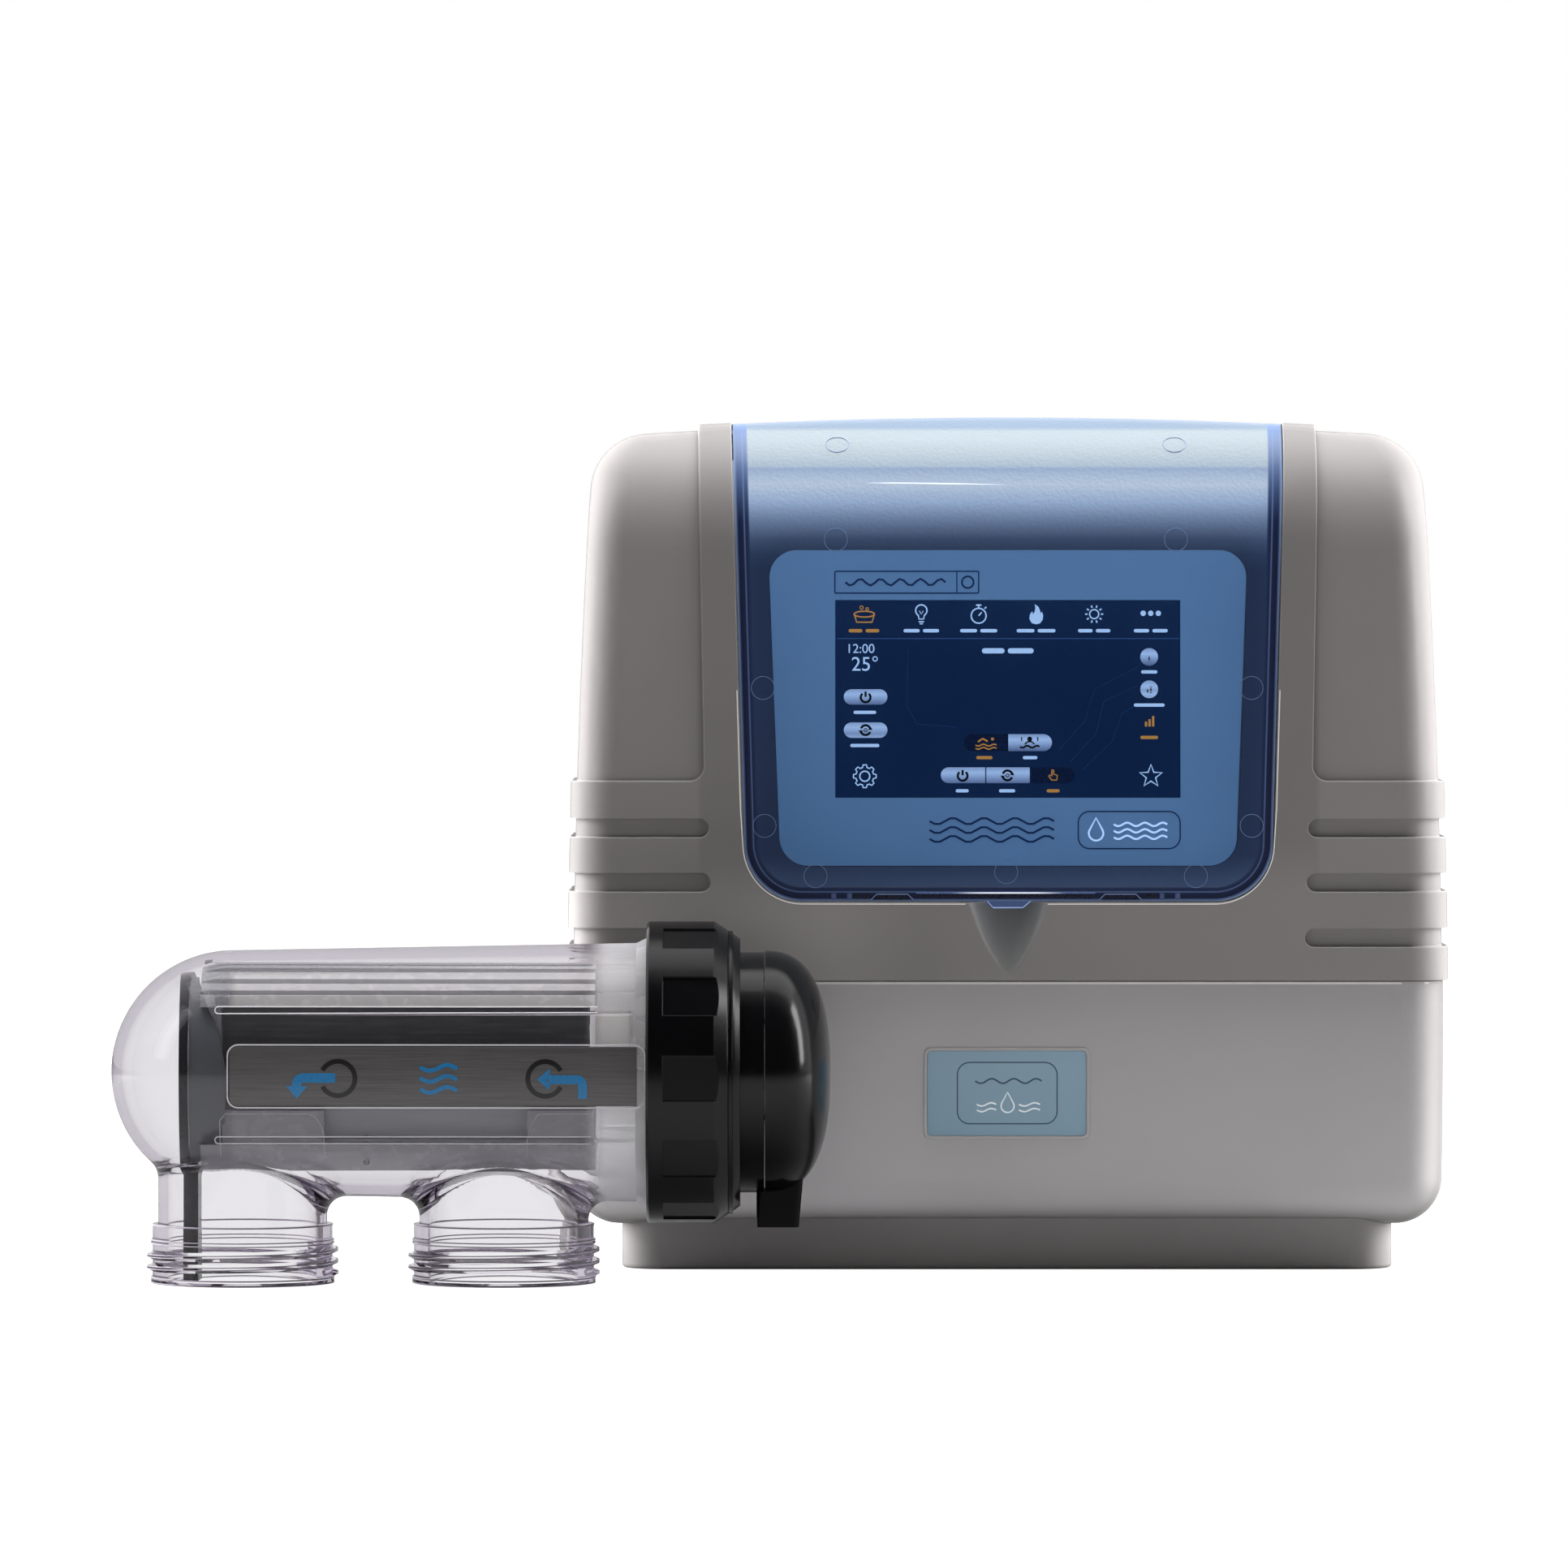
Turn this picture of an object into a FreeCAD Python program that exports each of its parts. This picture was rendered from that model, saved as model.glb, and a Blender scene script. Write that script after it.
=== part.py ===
import FreeCAD, Part
import math
import operator
import os
import Sketcher
from FreeCAD import Vector, Placement, Rotation

# Salt chlorine generator for a swimming pool: a wall or floor standing power and control
# unit with a flip-up lid over a touch screen, and a separate clear electrolytic cell that
# stands in front of it, its axis along X. Millimetres. +Z up, -Y out of the front, +X to the
# right seen from the front. The origin is the centre of the unit's foot, on the floor plane.

os.makedirs("parts", exist_ok=True)
doc = FreeCAD.newDocument("salt_chlorine_generator")

# ---------------------------------------------------------------- driving dimensions
SIZES = dict(
    # outline seen from the front
    half_width=176.6, side_arc=4000.0, belly_height=80.0, total_height=342.0,
    crown_arc=2237.0, shoulder_arc=26.0, foot_arc=21.0, floor_gap=16.0,
    # profile of the front seen from the side
    edge_round=20.0, rear_face=66.0, part_plane=24.0, seam_height=116.0,
    front_belly=72.0, front_foot=66.0, front_shoulder=61.5, shoulder_height=290.0,
    brow_arc=58.0, belly_arc=300.0,
    # covers, and how far surfaces lie behind the outer form
    skin=4.6, recess_depth=2.4, lower_inset=2.1, lid_gap=0.6, lid_proud=0.4,
    lid_skin=2.6, lid_rim_depth=9.0, well_depth=15.0, well_wall=3.2,
    # lid and hinge
    lid_half_top=112.0, lid_half_bottom=104.7, lid_bottom=148.0, lid_corner=22.6,
    lid_rear=12.0, hinge_back=7.4, hinge_height=334.0, hinge_pin_radius=2.5,
    # side panels and slots
    panel_half=123.9, panel_half_low=121.3, panel_low=195.7, panel_corner=6.0,
    slot_half=3.65, slot_one=177.0, slot_two=155.3, slot_three=133.3,
    # foot and cover screws
    plinth_half=154.6, plinth_deep=56.0, plinth_corner=18.0, plinth_top=24.0,
    base_wall=3.0, bay_half=140.0, screw_half=150.0, screw_low=40.0, screw_high=300.0,
    # badge, screen and fascia
    badge_width=63.4, badge_height=34.0, badge_centre=71.0,
    screen_width=137.8, screen_height=78.9, screen_centre=228.4,
    fascia_top=288.0, fascia_bottom=161.8, fascia_half_top=95.9, fascia_half_low=91.1,
    # cell housing; left and right are distances to the left of X = 0
    cell_back=138.0, cell_height=82.6, barrel_left=305.9,
    barrel_radius_left=48.0, barrel_radius_right=50.8, barrel_wall=4.0,
    mouth_left=141.0, mouth_right=113.2, mouth_radius=54.0, mouth_bore=46.8,
    port_left=302.4, port_right=199.7, port_radius=33.3, port_bore=29.3,
    collar_radius=35.4, collar_height=23.3, pilot_radius=36.0, crest_radius=37.6,
    thread_pitch=4.6,
    # locking ring, cap and terminal cover
    ring_radius=59.3, ring_left=143.4, ring_right=106.8,
    ring_chamfer_start=117.0, ring_nose_radius=53.9, ring_bore=55.6, ring_lip_bore=47.9,
    cap_radius=47.2, cap_flange_radius=53.5, plug_radius=46.3, plug_left=134.0,
    cap_right=97.4, cover_left=97.1, cover_tip=71.4, cover_radius=47.8, boss_drop=60.4,
    # electrode plates and wall bracket
    plate_left=309.0, plate_right=163.0, plate_thick=1.0, plate_pitch=7.0,
    bracket_width=190.0, bracket_hole_radius=3.25,
)
del SIZES["plinth_top"]


class Linked:
    """A number that also knows its spreadsheet expression."""

    def __init__(self, value, formula):
        self.value = float(value)
        self.formula = formula

    def _join(self, other, sign, work, swapped=False):
        if not isinstance(other, Linked):
            other = Linked(other, repr(float(other)))
        first, second = (other, self) if swapped else (self, other)
        formula = "(%s %s %s)" % (first.formula, sign, second.formula)
        return Linked(work(first.value, second.value), formula)

    def __add__(self, other):
        return self._join(other, "+", operator.add)

    def __radd__(self, other):
        return self._join(other, "+", operator.add, True)

    def __sub__(self, other):
        return self._join(other, "-", operator.sub)

    def __rsub__(self, other):
        return self._join(other, "-", operator.sub, True)

    def __rmul__(self, other):
        return self._join(other, "*", operator.mul, True)

    def __neg__(self):
        return 0 - self


class Dimensions:
    """Holds each driving dimension as a Linked attribute."""


dim = Dimensions()
sheet = doc.addObject("Spreadsheet::Sheet", "Dims")
for row, (alias, value) in enumerate(SIZES.items(), start=1):
    sheet.set("A%d" % row, alias)
    sheet.set("B%d" % row, str(value))
    sheet.setAlias("B%d" % row, alias)
    setattr(dim, alias, Linked(value, "Dims." + alias))
doc.recompute()


# ---------------------------------------------------------------- solids and booleans
# Objects that share a name are numbered by FreeCAD.
def num(size):
    return size.value if isinstance(size, Linked) else float(size)


def bind(obj, prop, size):
    """Sets a property, and ties it to the sheet when the size is Linked."""
    setattr(obj, prop, num(size))
    if isinstance(size, Linked):
        obj.setExpression(prop, size.formula)


def place(obj, x, y, z, axis=None, angle=0.0):
    turn = Rotation(Vector(*axis), angle) if axis else Rotation()
    obj.Placement = Placement(Vector(num(x), num(y), num(z)), turn)
    for letter, size in (("x", x), ("y", y), ("z", z)):
        if isinstance(size, Linked):
            obj.setExpression("Placement.Base." + letter, size.formula)
    return obj


def make(kind, name, **sizes):
    obj = doc.addObject("Part::" + kind, name)
    for prop, size in sizes.items():
        bind(obj, prop, size)
    return obj


def box(name, x0, x1, y0, y1, z0, z1):
    block = make("Box", name, Length=x1 - x0, Width=y1 - y0, Height=z1 - z0)
    return place(block, x0, y0, z0)


def mid_box(name, half, y0, y1, z0, z1):
    """A box centred on X = 0."""
    return box(name, -half, half, y0, y1, z0, z1)


def zone(name, y0, y1, z0, z1):
    """A box wider than the unit, to keep one slice of it."""
    return mid_box(name, 230.0, y0, y1, z0, z1)


AXES = {"z": ((0, 0, 1), 0.0), "x": ((0, 1, 0), 90.0), "y": ((1, 0, 0), -90.0)}


def cyl(name, axis, x, y, z, radius, length):
    """A cylinder that starts at x, y, z and runs towards + along the named axis."""
    return place(make("Cylinder", name, Radius=radius, Height=length), x, y, z, *AXES[axis])


def cone(name, axis, x, y, z, radius0, radius1, length):
    """A cone laid out like cyl."""
    body = make("Cone", name, Radius1=radius0, Radius2=radius1, Height=length)
    return place(body, x, y, z, *AXES[axis])


def hexagon(name, radius, height):
    prism_obj = doc.addObject("Part::Prism", name)
    prism_obj.Polygon = 6
    prism_obj.Circumradius = radius
    prism_obj.Height = height
    return prism_obj


def fuse(name, *shapes):
    if len(shapes) == 1:
        return shapes[0]
    joined = doc.addObject("Part::MultiFuse", name)
    joined.Shapes = list(shapes)
    joined.Refine = False
    return joined


def cut(name, base, *tools):
    left = doc.addObject("Part::Cut", name)
    left.Base = base
    left.Tool = fuse(name + "_tools", *tools)
    left.Refine = False
    return left


def common(name, *shapes):
    shared = doc.addObject("Part::MultiCommon", name)
    shared.Shapes = list(shapes)
    shared.Refine = False
    return shared


def group(name, *shapes):
    bundle = doc.addObject("Part::Compound", name)
    bundle.Links = list(shapes)
    return bundle


PIECES = []


def piece(obj):
    """Marks an object for export under its own label."""
    PIECES.append(obj)


# ---------------------------------------------------------------- edge selection and fillets
def spans(edge):
    """How far apart the ends of an edge are in x, y and z."""
    gap = edge.Vertexes[-1].Point.sub(edge.Vertexes[0].Point)
    return abs(gap.x), abs(gap.y), abs(gap.z)


def upright(edge):
    dx, dy, _ = spans(edge)
    return dx < 1e-6 and dy < 1e-6


def along_y(edge):
    dx, dy, dz = spans(edge)
    return dx < 1e-6 and dz < 1e-6 and dy > 1e-6


def midpoint(edge):
    return edge.valueAt((edge.FirstParameter + edge.LastParameter) / 2)


def lies_at(letter, level):
    """A test for edges that lie in the plane where the coordinate (y or z) equals level."""
    def test(edge):
        points = [v.Point for v in edge.Vertexes] + [midpoint(edge)]
        return all(abs(getattr(p, letter) - level) < 1e-6 for p in points)
    return test


def edge_numbers(shape, test):
    return [i for i, edge in enumerate(shape.Edges, start=1) if test(edge)]


def rounded(name, base, radius, test):
    doc.recompute()
    picked = edge_numbers(base.Shape, test)
    fillet = doc.addObject("Part::Fillet", name)
    fillet.Base = base
    fillet.Edges = [(i, num(radius), num(radius)) for i in picked]
    doc.recompute()
    return fillet


def round_body(body, radius, test):
    """Adds a PartDesign fillet on the edges the test picks."""
    tip = body.Tip
    picked = edge_numbers(tip.Shape, test)
    fillet = body.newObject("PartDesign::Fillet", body.Name + "_corners")
    fillet.Base = (tip, ["Edge%d" % i for i in picked])
    bind(fillet, "Radius", radius)
    doc.recompute()
    return body


# ---------------------------------------------------------------- sketched bodies
def flat(point):
    return Vector(num(point[0]), num(point[1]), 0)


def line(start, end):
    return Part.LineSegment(flat(start), flat(end))


def arc(start, centre, end, radius):
    """An arc that runs anticlockwise from start to end."""
    first, last = [math.atan2(p[1] - centre[1], p[0] - centre[0]) for p in (start, end)]
    if last < first:
        last += 2 * math.pi
    return Part.ArcOfCircle(Part.Circle(flat(centre), Vector(0, 0, 1), radius), first, last)


def loop(points):
    """The straight runs of a closed polygon."""
    return [(points[i], points[(i + 1) % len(points)]) for i in range(len(points))]


def sketch_on(body, name, role, offset=0.0):
    sketch = body.newObject("Sketcher::SketchObject", name)
    origin_plane = next(f for f in body.Origin.OriginFeatures if f.Role == role)
    sketch.AttachmentSupport = [(origin_plane, "")]
    sketch.MapMode = "FlatFace"
    sketch.AttachmentOffset = Placement(Vector(0, 0, num(offset)), Rotation())
    if isinstance(offset, Linked):
        sketch.setExpression("AttachmentOffset.Base.z", offset.formula)
    return sketch


def draw(sketch, edges, backward=()):
    """Adds edges that form a closed loop; backward lists those drawn against the loop."""
    for edge in edges:
        sketch.addGeometry(edge, False)
    for i in range(len(edges)):
        after = (i + 1) % len(edges)
        end = 1 if i in backward else 2
        start = 2 if after in backward else 1
        sketch.addConstraint(Sketcher.Constraint("Coincident", i, end, after, start))


def constrain(sketch, size, kind, *target):
    added = sketch.addConstraint(Sketcher.Constraint(kind, *target, num(size)))
    if isinstance(size, Linked):
        sketch.setExpression("Constraints[%d]" % added, size.formula)


def add_pad(body, sketch, length):
    doc.recompute()
    pad = body.newObject("PartDesign::Pad", body.Name + "_pad")
    pad.Profile = sketch
    bind(pad, "Length", length)
    doc.recompute()


def prism(name, points, offset, length, role="XZ_Plane"):
    """A padded polygon. On XZ it starts at Y = -offset and runs towards -Y."""
    body = doc.addObject("PartDesign::Body", name)
    sketch = sketch_on(body, name + "_sketch", role, offset)
    draw(sketch, [line(*run) for run in loop(points)])
    for i, point in enumerate(points):
        constrain(sketch, point[0], "DistanceX", -1, 1, i, 1)
        constrain(sketch, point[1], "DistanceY", -1, 1, i, 1)
    add_pad(body, sketch, length)
    return body


def trapezoid(low_half, low_z, top_half, top_z):
    return [(-low_half, low_z), (low_half, low_z), (top_half, top_z), (-top_half, top_z)]


def turned(name, runs):
    """A body turned about X: straight runs (two points) or smooth curves of (x, radius)."""
    body = doc.addObject("PartDesign::Body", name)
    sketch = sketch_on(body, name + "_profile", "XZ_Plane")
    edges = []
    for run in runs:
        if len(run) == 2:
            edges.append(line(*run))
        else:
            curve = Part.BSplineCurve()
            curve.interpolate([flat(p) for p in run])
            edges.append(curve)
    draw(sketch, edges)
    for i, run in enumerate(runs):
        for kind, size in zip(("DistanceX", "DistanceY"), run[0]):
            if isinstance(size, Linked):
                constrain(sketch, size, kind, -1, 1, i, 1)
    doc.recompute()
    turn = body.newObject("PartDesign::Revolution", name + "_turn")
    turn.Profile = sketch
    turn.ReferenceAxis = (sketch, ["H_Axis"])
    turn.Angle = 360
    doc.recompute()
    return body


# ---------------------------------------------------------------- the unit's outer form
def unit(start, end):
    length = math.hypot(end[0] - start[0], end[1] - start[1])
    return (end[0] - start[0]) / length, (end[1] - start[1]) / length


def step(point, direction, length):
    return point[0] + direction[0] * length, point[1] + direction[1] * length


def outline_edges(inset):
    """The front outline moved inwards: a straight base, then seven arcs, anticlockwise."""
    side_radius, crown_radius = num(dim.side_arc), num(dim.crown_arc)
    corner_radius, foot_radius = num(dim.shoulder_arc), num(dim.foot_arc)
    floor = num(dim.floor_gap)
    side = (num(dim.half_width) - side_radius, num(dim.belly_height))
    crown = (0.0, num(dim.total_height) - crown_radius)

    # the shoulder arc touches the side and the crown arcs from inside
    side_reach, crown_reach = side_radius - corner_radius, crown_radius - corner_radius
    apart = math.hypot(crown[0] - side[0], crown[1] - side[1])
    ahead = unit(side, crown)
    along = (side_reach ** 2 - crown_reach ** 2 + apart ** 2) / (2 * apart)
    off = math.sqrt(side_reach ** 2 - along ** 2)
    base = step(side, ahead, along)
    corner = max((step(base, (-ahead[1], ahead[0]), s * off) for s in (1, -1)),
                 key=lambda p: p[1])
    foot_z = floor + foot_radius
    foot_reach = math.sqrt((side_radius - foot_radius) ** 2 - (foot_z - side[1]) ** 2)
    foot = (side[0] + foot_reach, foot_z)

    side_top = step(corner, unit(side, corner), corner_radius - inset)
    crown_end = step(corner, unit(crown, corner), corner_radius - inset)
    side_low = step(foot, unit(side, foot), foot_radius - inset)
    base_end = (foot[0], floor + inset)

    def mirror(point):
        return -point[0], point[1]

    right = [(base_end, foot, side_low, foot_radius - inset),
             (side_low, side, side_top, side_radius - inset),
             (side_top, corner, crown_end, corner_radius - inset)]
    left = [(mirror(end), mirror(centre), mirror(start), radius)
            for start, centre, end, radius in reversed(right)]
    top = (crown_end, crown, mirror(crown_end), crown_radius - inset)
    return [line(mirror(base_end), base_end)] + [arc(*a) for a in right + [top] + left]


def front_plane(start, end):
    """A flat of the front: its (y, z) start, direction up it, inward normal, lean angle."""
    up = unit(start, end)
    return start, up, (up[1], -up[0]), -math.degrees(math.atan2(up[0], up[1]))


# the lower flat leans forward as it rises, the upper one leans back
BELLY = (-num(dim.front_belly), num(dim.seam_height))
SHOULDER = (-num(dim.front_shoulder), num(dim.shoulder_height))
LOWER = front_plane((-num(dim.front_foot), num(dim.floor_gap)), BELLY)
UPPER = front_plane(BELLY, SHOULDER)


def front_edges(inset):
    """The side profile of the material in front of the unit, with the front moved inwards."""
    low_up, low_in = LOWER[1:3]
    high_up, high_in = UPPER[1:3]
    brow_radius, belly_radius = num(dim.brow_arc), num(dim.belly_arc)
    half = math.acos(low_up[0] * high_up[0] + low_up[1] * high_up[1]) / 2
    middle = unit((0, 0), (low_in[0] + high_in[0], low_in[1] + high_in[1]))
    belly = step(BELLY, middle, belly_radius / math.cos(half))
    belly_low = step(belly, low_in, inset - belly_radius)
    belly_high = step(belly, high_in, inset - belly_radius)
    brow = step(SHOULDER, high_in, brow_radius)
    brow_low = step(brow, high_in, inset - brow_radius)
    brow_top = (brow[0], brow[1] + brow_radius - inset)
    bottom, top, far = -5.0, 420.0, -140.0
    start = (belly_low[0] - low_up[0] * (belly_low[1] - bottom) / low_up[1], bottom)
    return [line(start, belly_low),
            arc(belly_high, belly, belly_low, belly_radius - inset),
            line(belly_high, brow_low),
            arc(brow_top, brow, brow_low, brow_radius - inset),
            line(brow_top, (brow_top[0], top)), line((brow_top[0], top), (far, top)),
            line((far, top), (far, bottom)), line((far, bottom), start)]


def hull(name, inset):
    """The whole outer form moved inwards by inset, back to the rear face."""
    body = doc.addObject("PartDesign::Body", name)
    sketch = sketch_on(body, name + "_outline", "XZ_Plane", -dim.rear_face)
    draw(sketch, outline_edges(num(inset)))
    for i, radius in ((1, dim.foot_arc), (3, dim.shoulder_arc), (4, dim.crown_arc)):
        constrain(sketch, radius - inset, "Radius", i)
    add_pad(body, sketch, dim.rear_face + 100.0)

    front = sketch_on(body, name + "_front", "YZ_Plane")
    draw(front, front_edges(num(inset)), backward=(1, 3))
    constrain(front, dim.brow_arc - inset, "Radius", 3)
    doc.recompute()
    pocket = body.newObject("PartDesign::Pocket", name + "_face")
    pocket.Profile = front
    pocket.Type = "Length"
    pocket.Length = 500
    pocket.Midplane = True
    doc.recompute()

    def front_rim(edge):
        """True where the outline's wall meets the front."""
        faces = pocket.Shape.ancestorsOfType(edge, Part.Face)
        if len(faces) != 2:
            return False
        middle = midpoint(edge)
        normals = [f.normalAt(*f.Surface.parameter(middle)) for f in faces]
        wall = [abs(n.y) < 1e-6 for n in normals]
        face = [abs(n.x) < 1e-6 and n.y < -0.02 for n in normals]
        return any(wall[a] and face[b] and not face[a] for a, b in ((0, 1), (1, 0)))

    return round_body(body, dim.edge_round - inset, front_rim)


outer = hull("form_outer", 0.0)
recess = hull("form_recess", dim.recess_depth)
lower = hull("form_lower", dim.lower_inset)
lower_inside = hull("form_lower_inside", dim.lower_inset + 3.0)
inside = hull("form_inside", dim.skin)
lid_form = hull("form_lid", dim.lid_proud)
lid_form_inside = hull("form_lid_inside", dim.lid_proud + dim.lid_skin)
rim_form = hull("form_rim", dim.lid_rim_depth)
well_form = hull("form_well", dim.well_depth)
well_form_inside = hull("form_well_inside", dim.well_depth + 3.0)


def on_front(flat_area, up, depth):
    """The (y, z) of a point on a flat of the front: distance up it and depth behind it."""
    start, direction, normal, _ = flat_area
    return step(step(start, direction, num(up)), normal, num(depth))


def leaning(name, x0, x1, depth0, depth1, up0, up1, flat_area=UPPER):
    """A box parallel to a flat of the front."""
    block = make("Box", name, Length=x1 - x0, Width=depth1 - depth0, Height=up1 - up0)
    return place(block, x0, *on_front(flat_area, up0, depth0), (1, 0, 0), flat_area[3])


def leaning_peg(name, x, up, depth0, depth1, radius):
    """A cylinder square to the upper front."""
    peg = make("Cylinder", name, Radius=radius, Height=depth1 - depth0)
    return place(peg, x, *on_front(UPPER, up, depth0), (1, 0, 0), -90 + UPPER[3])


def lid_prism(name, grow, rear):
    """The lid's outline grown outwards, from Y = -100 back to Y = rear."""
    points = trapezoid(dim.lid_half_bottom + grow, dim.lid_bottom - grow,
                       dim.lid_half_top + grow, dim.lid_bottom + 252.0)
    return round_body(prism(name, points, -rear, rear + 100.0), dim.lid_corner + grow,
                      lambda e: along_y(e) and e.Vertexes[0].Z < 160)


# ---------------------------------------------------------------- shared places
# (x, z) of the cover screws, and of the power board's posts
COVER_SCREWS = [(side * dim.screw_half, z)
                for z in (dim.screw_low, dim.screw_high) for side in (-1, 1)]
POSTS = [(-132, 128), (22, 128), (-132, 282), (22, 282)]
# (x, distance up the upper front) of the control board's standoffs
STANDOFFS = [(-90, 44), (90, 44), (-90, 158), (90, 158)]
HOOKS_X = (-70.0, 70.0)
TRANSFORMER = (97.0, 208.0)


def transformer_rod(name, y, radius, length):
    """A cylinder along the transformer's axis."""
    return cyl(name, "y", TRANSFORMER[0], y, TRANSFORMER[1], radius, length)


def screw_bosses(level, z, rib_end):
    """Two bosses with ribs out to the side walls, and their pilot holes."""
    solids, holes = [], []
    front = -16.0
    for side in (-1, 1):
        x = side * dim.screw_half
        rib = sorted((num(x), side * rib_end))
        solids.append(cyl(level + "_boss", "y", x, front, z, 6.0, dim.part_plane - front))
        solids.append(box(level + "_rib", *rib, front, dim.part_plane - 3.0, z - 1.5, z + 1.5))
        holes.append(cyl(level + "_pilot", "y", x, 2.0, z, 2.05, 40.0))
    return solids, holes


def hinge_rods(name, near, length, radius):
    """A cylinder on the hinge axis at each side, starting near from the centre."""
    return [cyl(name, "x", x, dim.hinge_back, dim.hinge_height, radius, length)
            for x in (-near - length, near)]


# ---------------------------------------------------------------- upper front cover
well_space = cut("well_space", lid_prism("well_opening", dim.lid_gap, 18.5), well_form)
well_outside = lid_prism("well_outside", dim.lid_gap + dim.well_wall, 21.7)
well_tray = cut("well_tray", common("well_block", well_outside, outer), well_form_inside)

# a flared scoop below the lid, turned about an axis that leans out of the front
SCOOP_APEX = Vector(0.0, -68.9, 118.6)
SCOOP_TOP = Vector(0.0, -76.2, 152.0)
SCOOP_RADIUS, SCOOP_WALL = 18.8, 2.6
SCOOP_STEPS = [0.0, 0.01, 0.04, 0.1, 0.2, 0.35, 0.55, 0.8, 1.0]
scoop_axis = SCOOP_TOP.sub(SCOOP_APEX)
reach = scoop_axis.Length
start, end = -2.0, reach - 3.0
scoop_curve = [(reach * t, SCOOP_RADIUS * t ** 0.7) for t in SCOOP_STEPS]
wall_curve = [(start + (end - start) * t, SCOOP_WALL + SCOOP_RADIUS * t ** 0.7)
              for t in SCOOP_STEPS]
scoop = turned("scoop", [scoop_curve, (scoop_curve[-1], (reach, 0.0)),
                         ((reach, 0.0), (0.0, 0.0))])
scoop_wall = turned("scoop_wall", [
    ((start, 0.0), wall_curve[0]), wall_curve, (wall_curve[-1], (end, 0.0)),
    ((end, 0.0), (start, 0.0))])
for obj in (scoop, scoop_wall):
    obj.Placement = Placement(SCOOP_APEX, Rotation(Vector(1, 0, 0), scoop_axis))
scoop_boss = common("scoop_boss", scoop_wall, outer,
                    mid_box("scoop_zone", 30, -100, 0, 116.4, 160))


def side_panel(side):
    """The tool for the recessed panel at one side."""
    def inner_low(edge):
        corner = edge.Vertexes[0]
        low = abs(corner.Z - num(dim.panel_low)) < 0.1
        return along_y(edge) and low and abs(corner.X) < 130

    top, far = dim.panel_low + 220.0, side * 230.0
    points = [(side * dim.panel_half_low, dim.panel_low), (far, dim.panel_low),
              (far, top), (side * (dim.panel_half + 1.5), top)]
    return round_body(prism("panel", points, -26.0, 130.0), dim.panel_corner, inner_low)


recess_tools = [side_panel(-1.0), side_panel(1.0)]
# each slot runs outwards from a round end; x is its innermost point
for z, x in ((dim.slot_one, 119.5), (dim.slot_two, 118.9), (dim.slot_three, 118.1)):
    end_x = x + dim.slot_half
    for side, x0, x1 in ((-1, -200.0, -end_x), (1, end_x, 200.0)):
        recess_tools.append(box("slot_bar", x0, x1, -100.0, 26.0,
                                z - dim.slot_half, z + dim.slot_half))
        recess_tools.append(cyl("slot_end", "y", side * end_x, -100.0, z,
                                dim.slot_half, 126.0))
recess_cut = cut("recess_cut", fuse("recess_tools", *recess_tools), recess)

upper_zone = zone("upper_zone", -120, dim.part_plane, dim.seam_height + 0.15, 420)
lower_zone = zone("lower_zone", -120, dim.part_plane, -10, dim.seam_height - 0.15)
upper_skin = common("upper_skin", cut("upper_shell", outer, inside), upper_zone)
bosses, bores = screw_bosses("high", dim.screw_high, 171.5)
for x, up in STANDOFFS:
    bosses.append(leaning_peg("standoff", x, up, 17.0, 30.0, 4.0))
    bores.append(leaning_peg("standoff_pilot", x, up, 23.0, 40.0, 1.5))
pin_holes = hinge_rods("pin_hole", 100.0, 14.5, dim.hinge_pin_radius + 0.02)
lcd_up = dim.screen_centre - dim.seam_height
lcd_hole = leaning("lcd_hole", -71.5, 71.5, 10.0, 24.0, lcd_up - 42.0, lcd_up + 42.0)
upper_solid = fuse("upper_solid", upper_skin, well_tray, scoop_boss, *bosses)
piece(cut("upper_front_cover", upper_solid,
          well_space, scoop, recess_cut, lcd_hole, *bores, *pin_holes))

# ---------------------------------------------------------------- lower front cover and badge
foot_slot = rounded(
    "foot_slot", mid_box("foot_slot_block", dim.plinth_half + 0.5,
                         -dim.plinth_deep - 0.5, 90.0, 8.0, 22.5),
    18.5, lambda e: upright(e) and e.Vertexes[0].Y < 0)
lower_skin = common("lower_skin", cut("lower_shell", lower, lower_inside), lower_zone)
# a lip that stands up behind the seam, open at the middle of the front
lip_shell = cut("lip_shell", lower_inside, hull("form_lip", dim.lower_inset + 5.2))
lip = cut("lip", common("lip_band", lip_shell, zone("lip_zone", -120, 21, 104, 121)),
          mid_box("lip_gap", 25, -120, 0, 100, 130))
low_bosses, low_bores = screw_bosses("low", dim.screw_low, 172.5)

BADGE_X = -0.6
BADGE_UP = num(dim.badge_centre) - num(dim.floor_gap) - num(dim.badge_height) / 2


def badge_block(name, grow, depth0, depth1, radius):
    """The badge's rounded rectangle grown outwards; depths are from the lower cover."""
    def through(edge):
        dx, _, dz = spans(edge)
        return dx < 1e-6 and dz < 0.5

    surface = num(dim.lower_inset)
    block = leaning(name + "_block", BADGE_X - 0.5 * dim.badge_width - grow,
                    BADGE_X + 0.5 * dim.badge_width + grow, surface + depth0,
                    surface + depth1, BADGE_UP - grow, BADGE_UP + dim.badge_height + grow,
                    LOWER)
    return rounded(name, block, radius, through)


badge_pocket = badge_block("badge_pocket", 0.15, -2.0, 1.3, 2.0)
badge_frame = badge_block("badge_frame", 1.4, -0.5, 1.0, 3.0)
piece(cut("lower_front_cover",
          fuse("lower_solid", lower_skin, lip, badge_frame, *low_bosses),
          foot_slot, badge_pocket, *low_bores))
piece(badge_block("badge", 0.0, 0.0, 1.25, 1.85))

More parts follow.
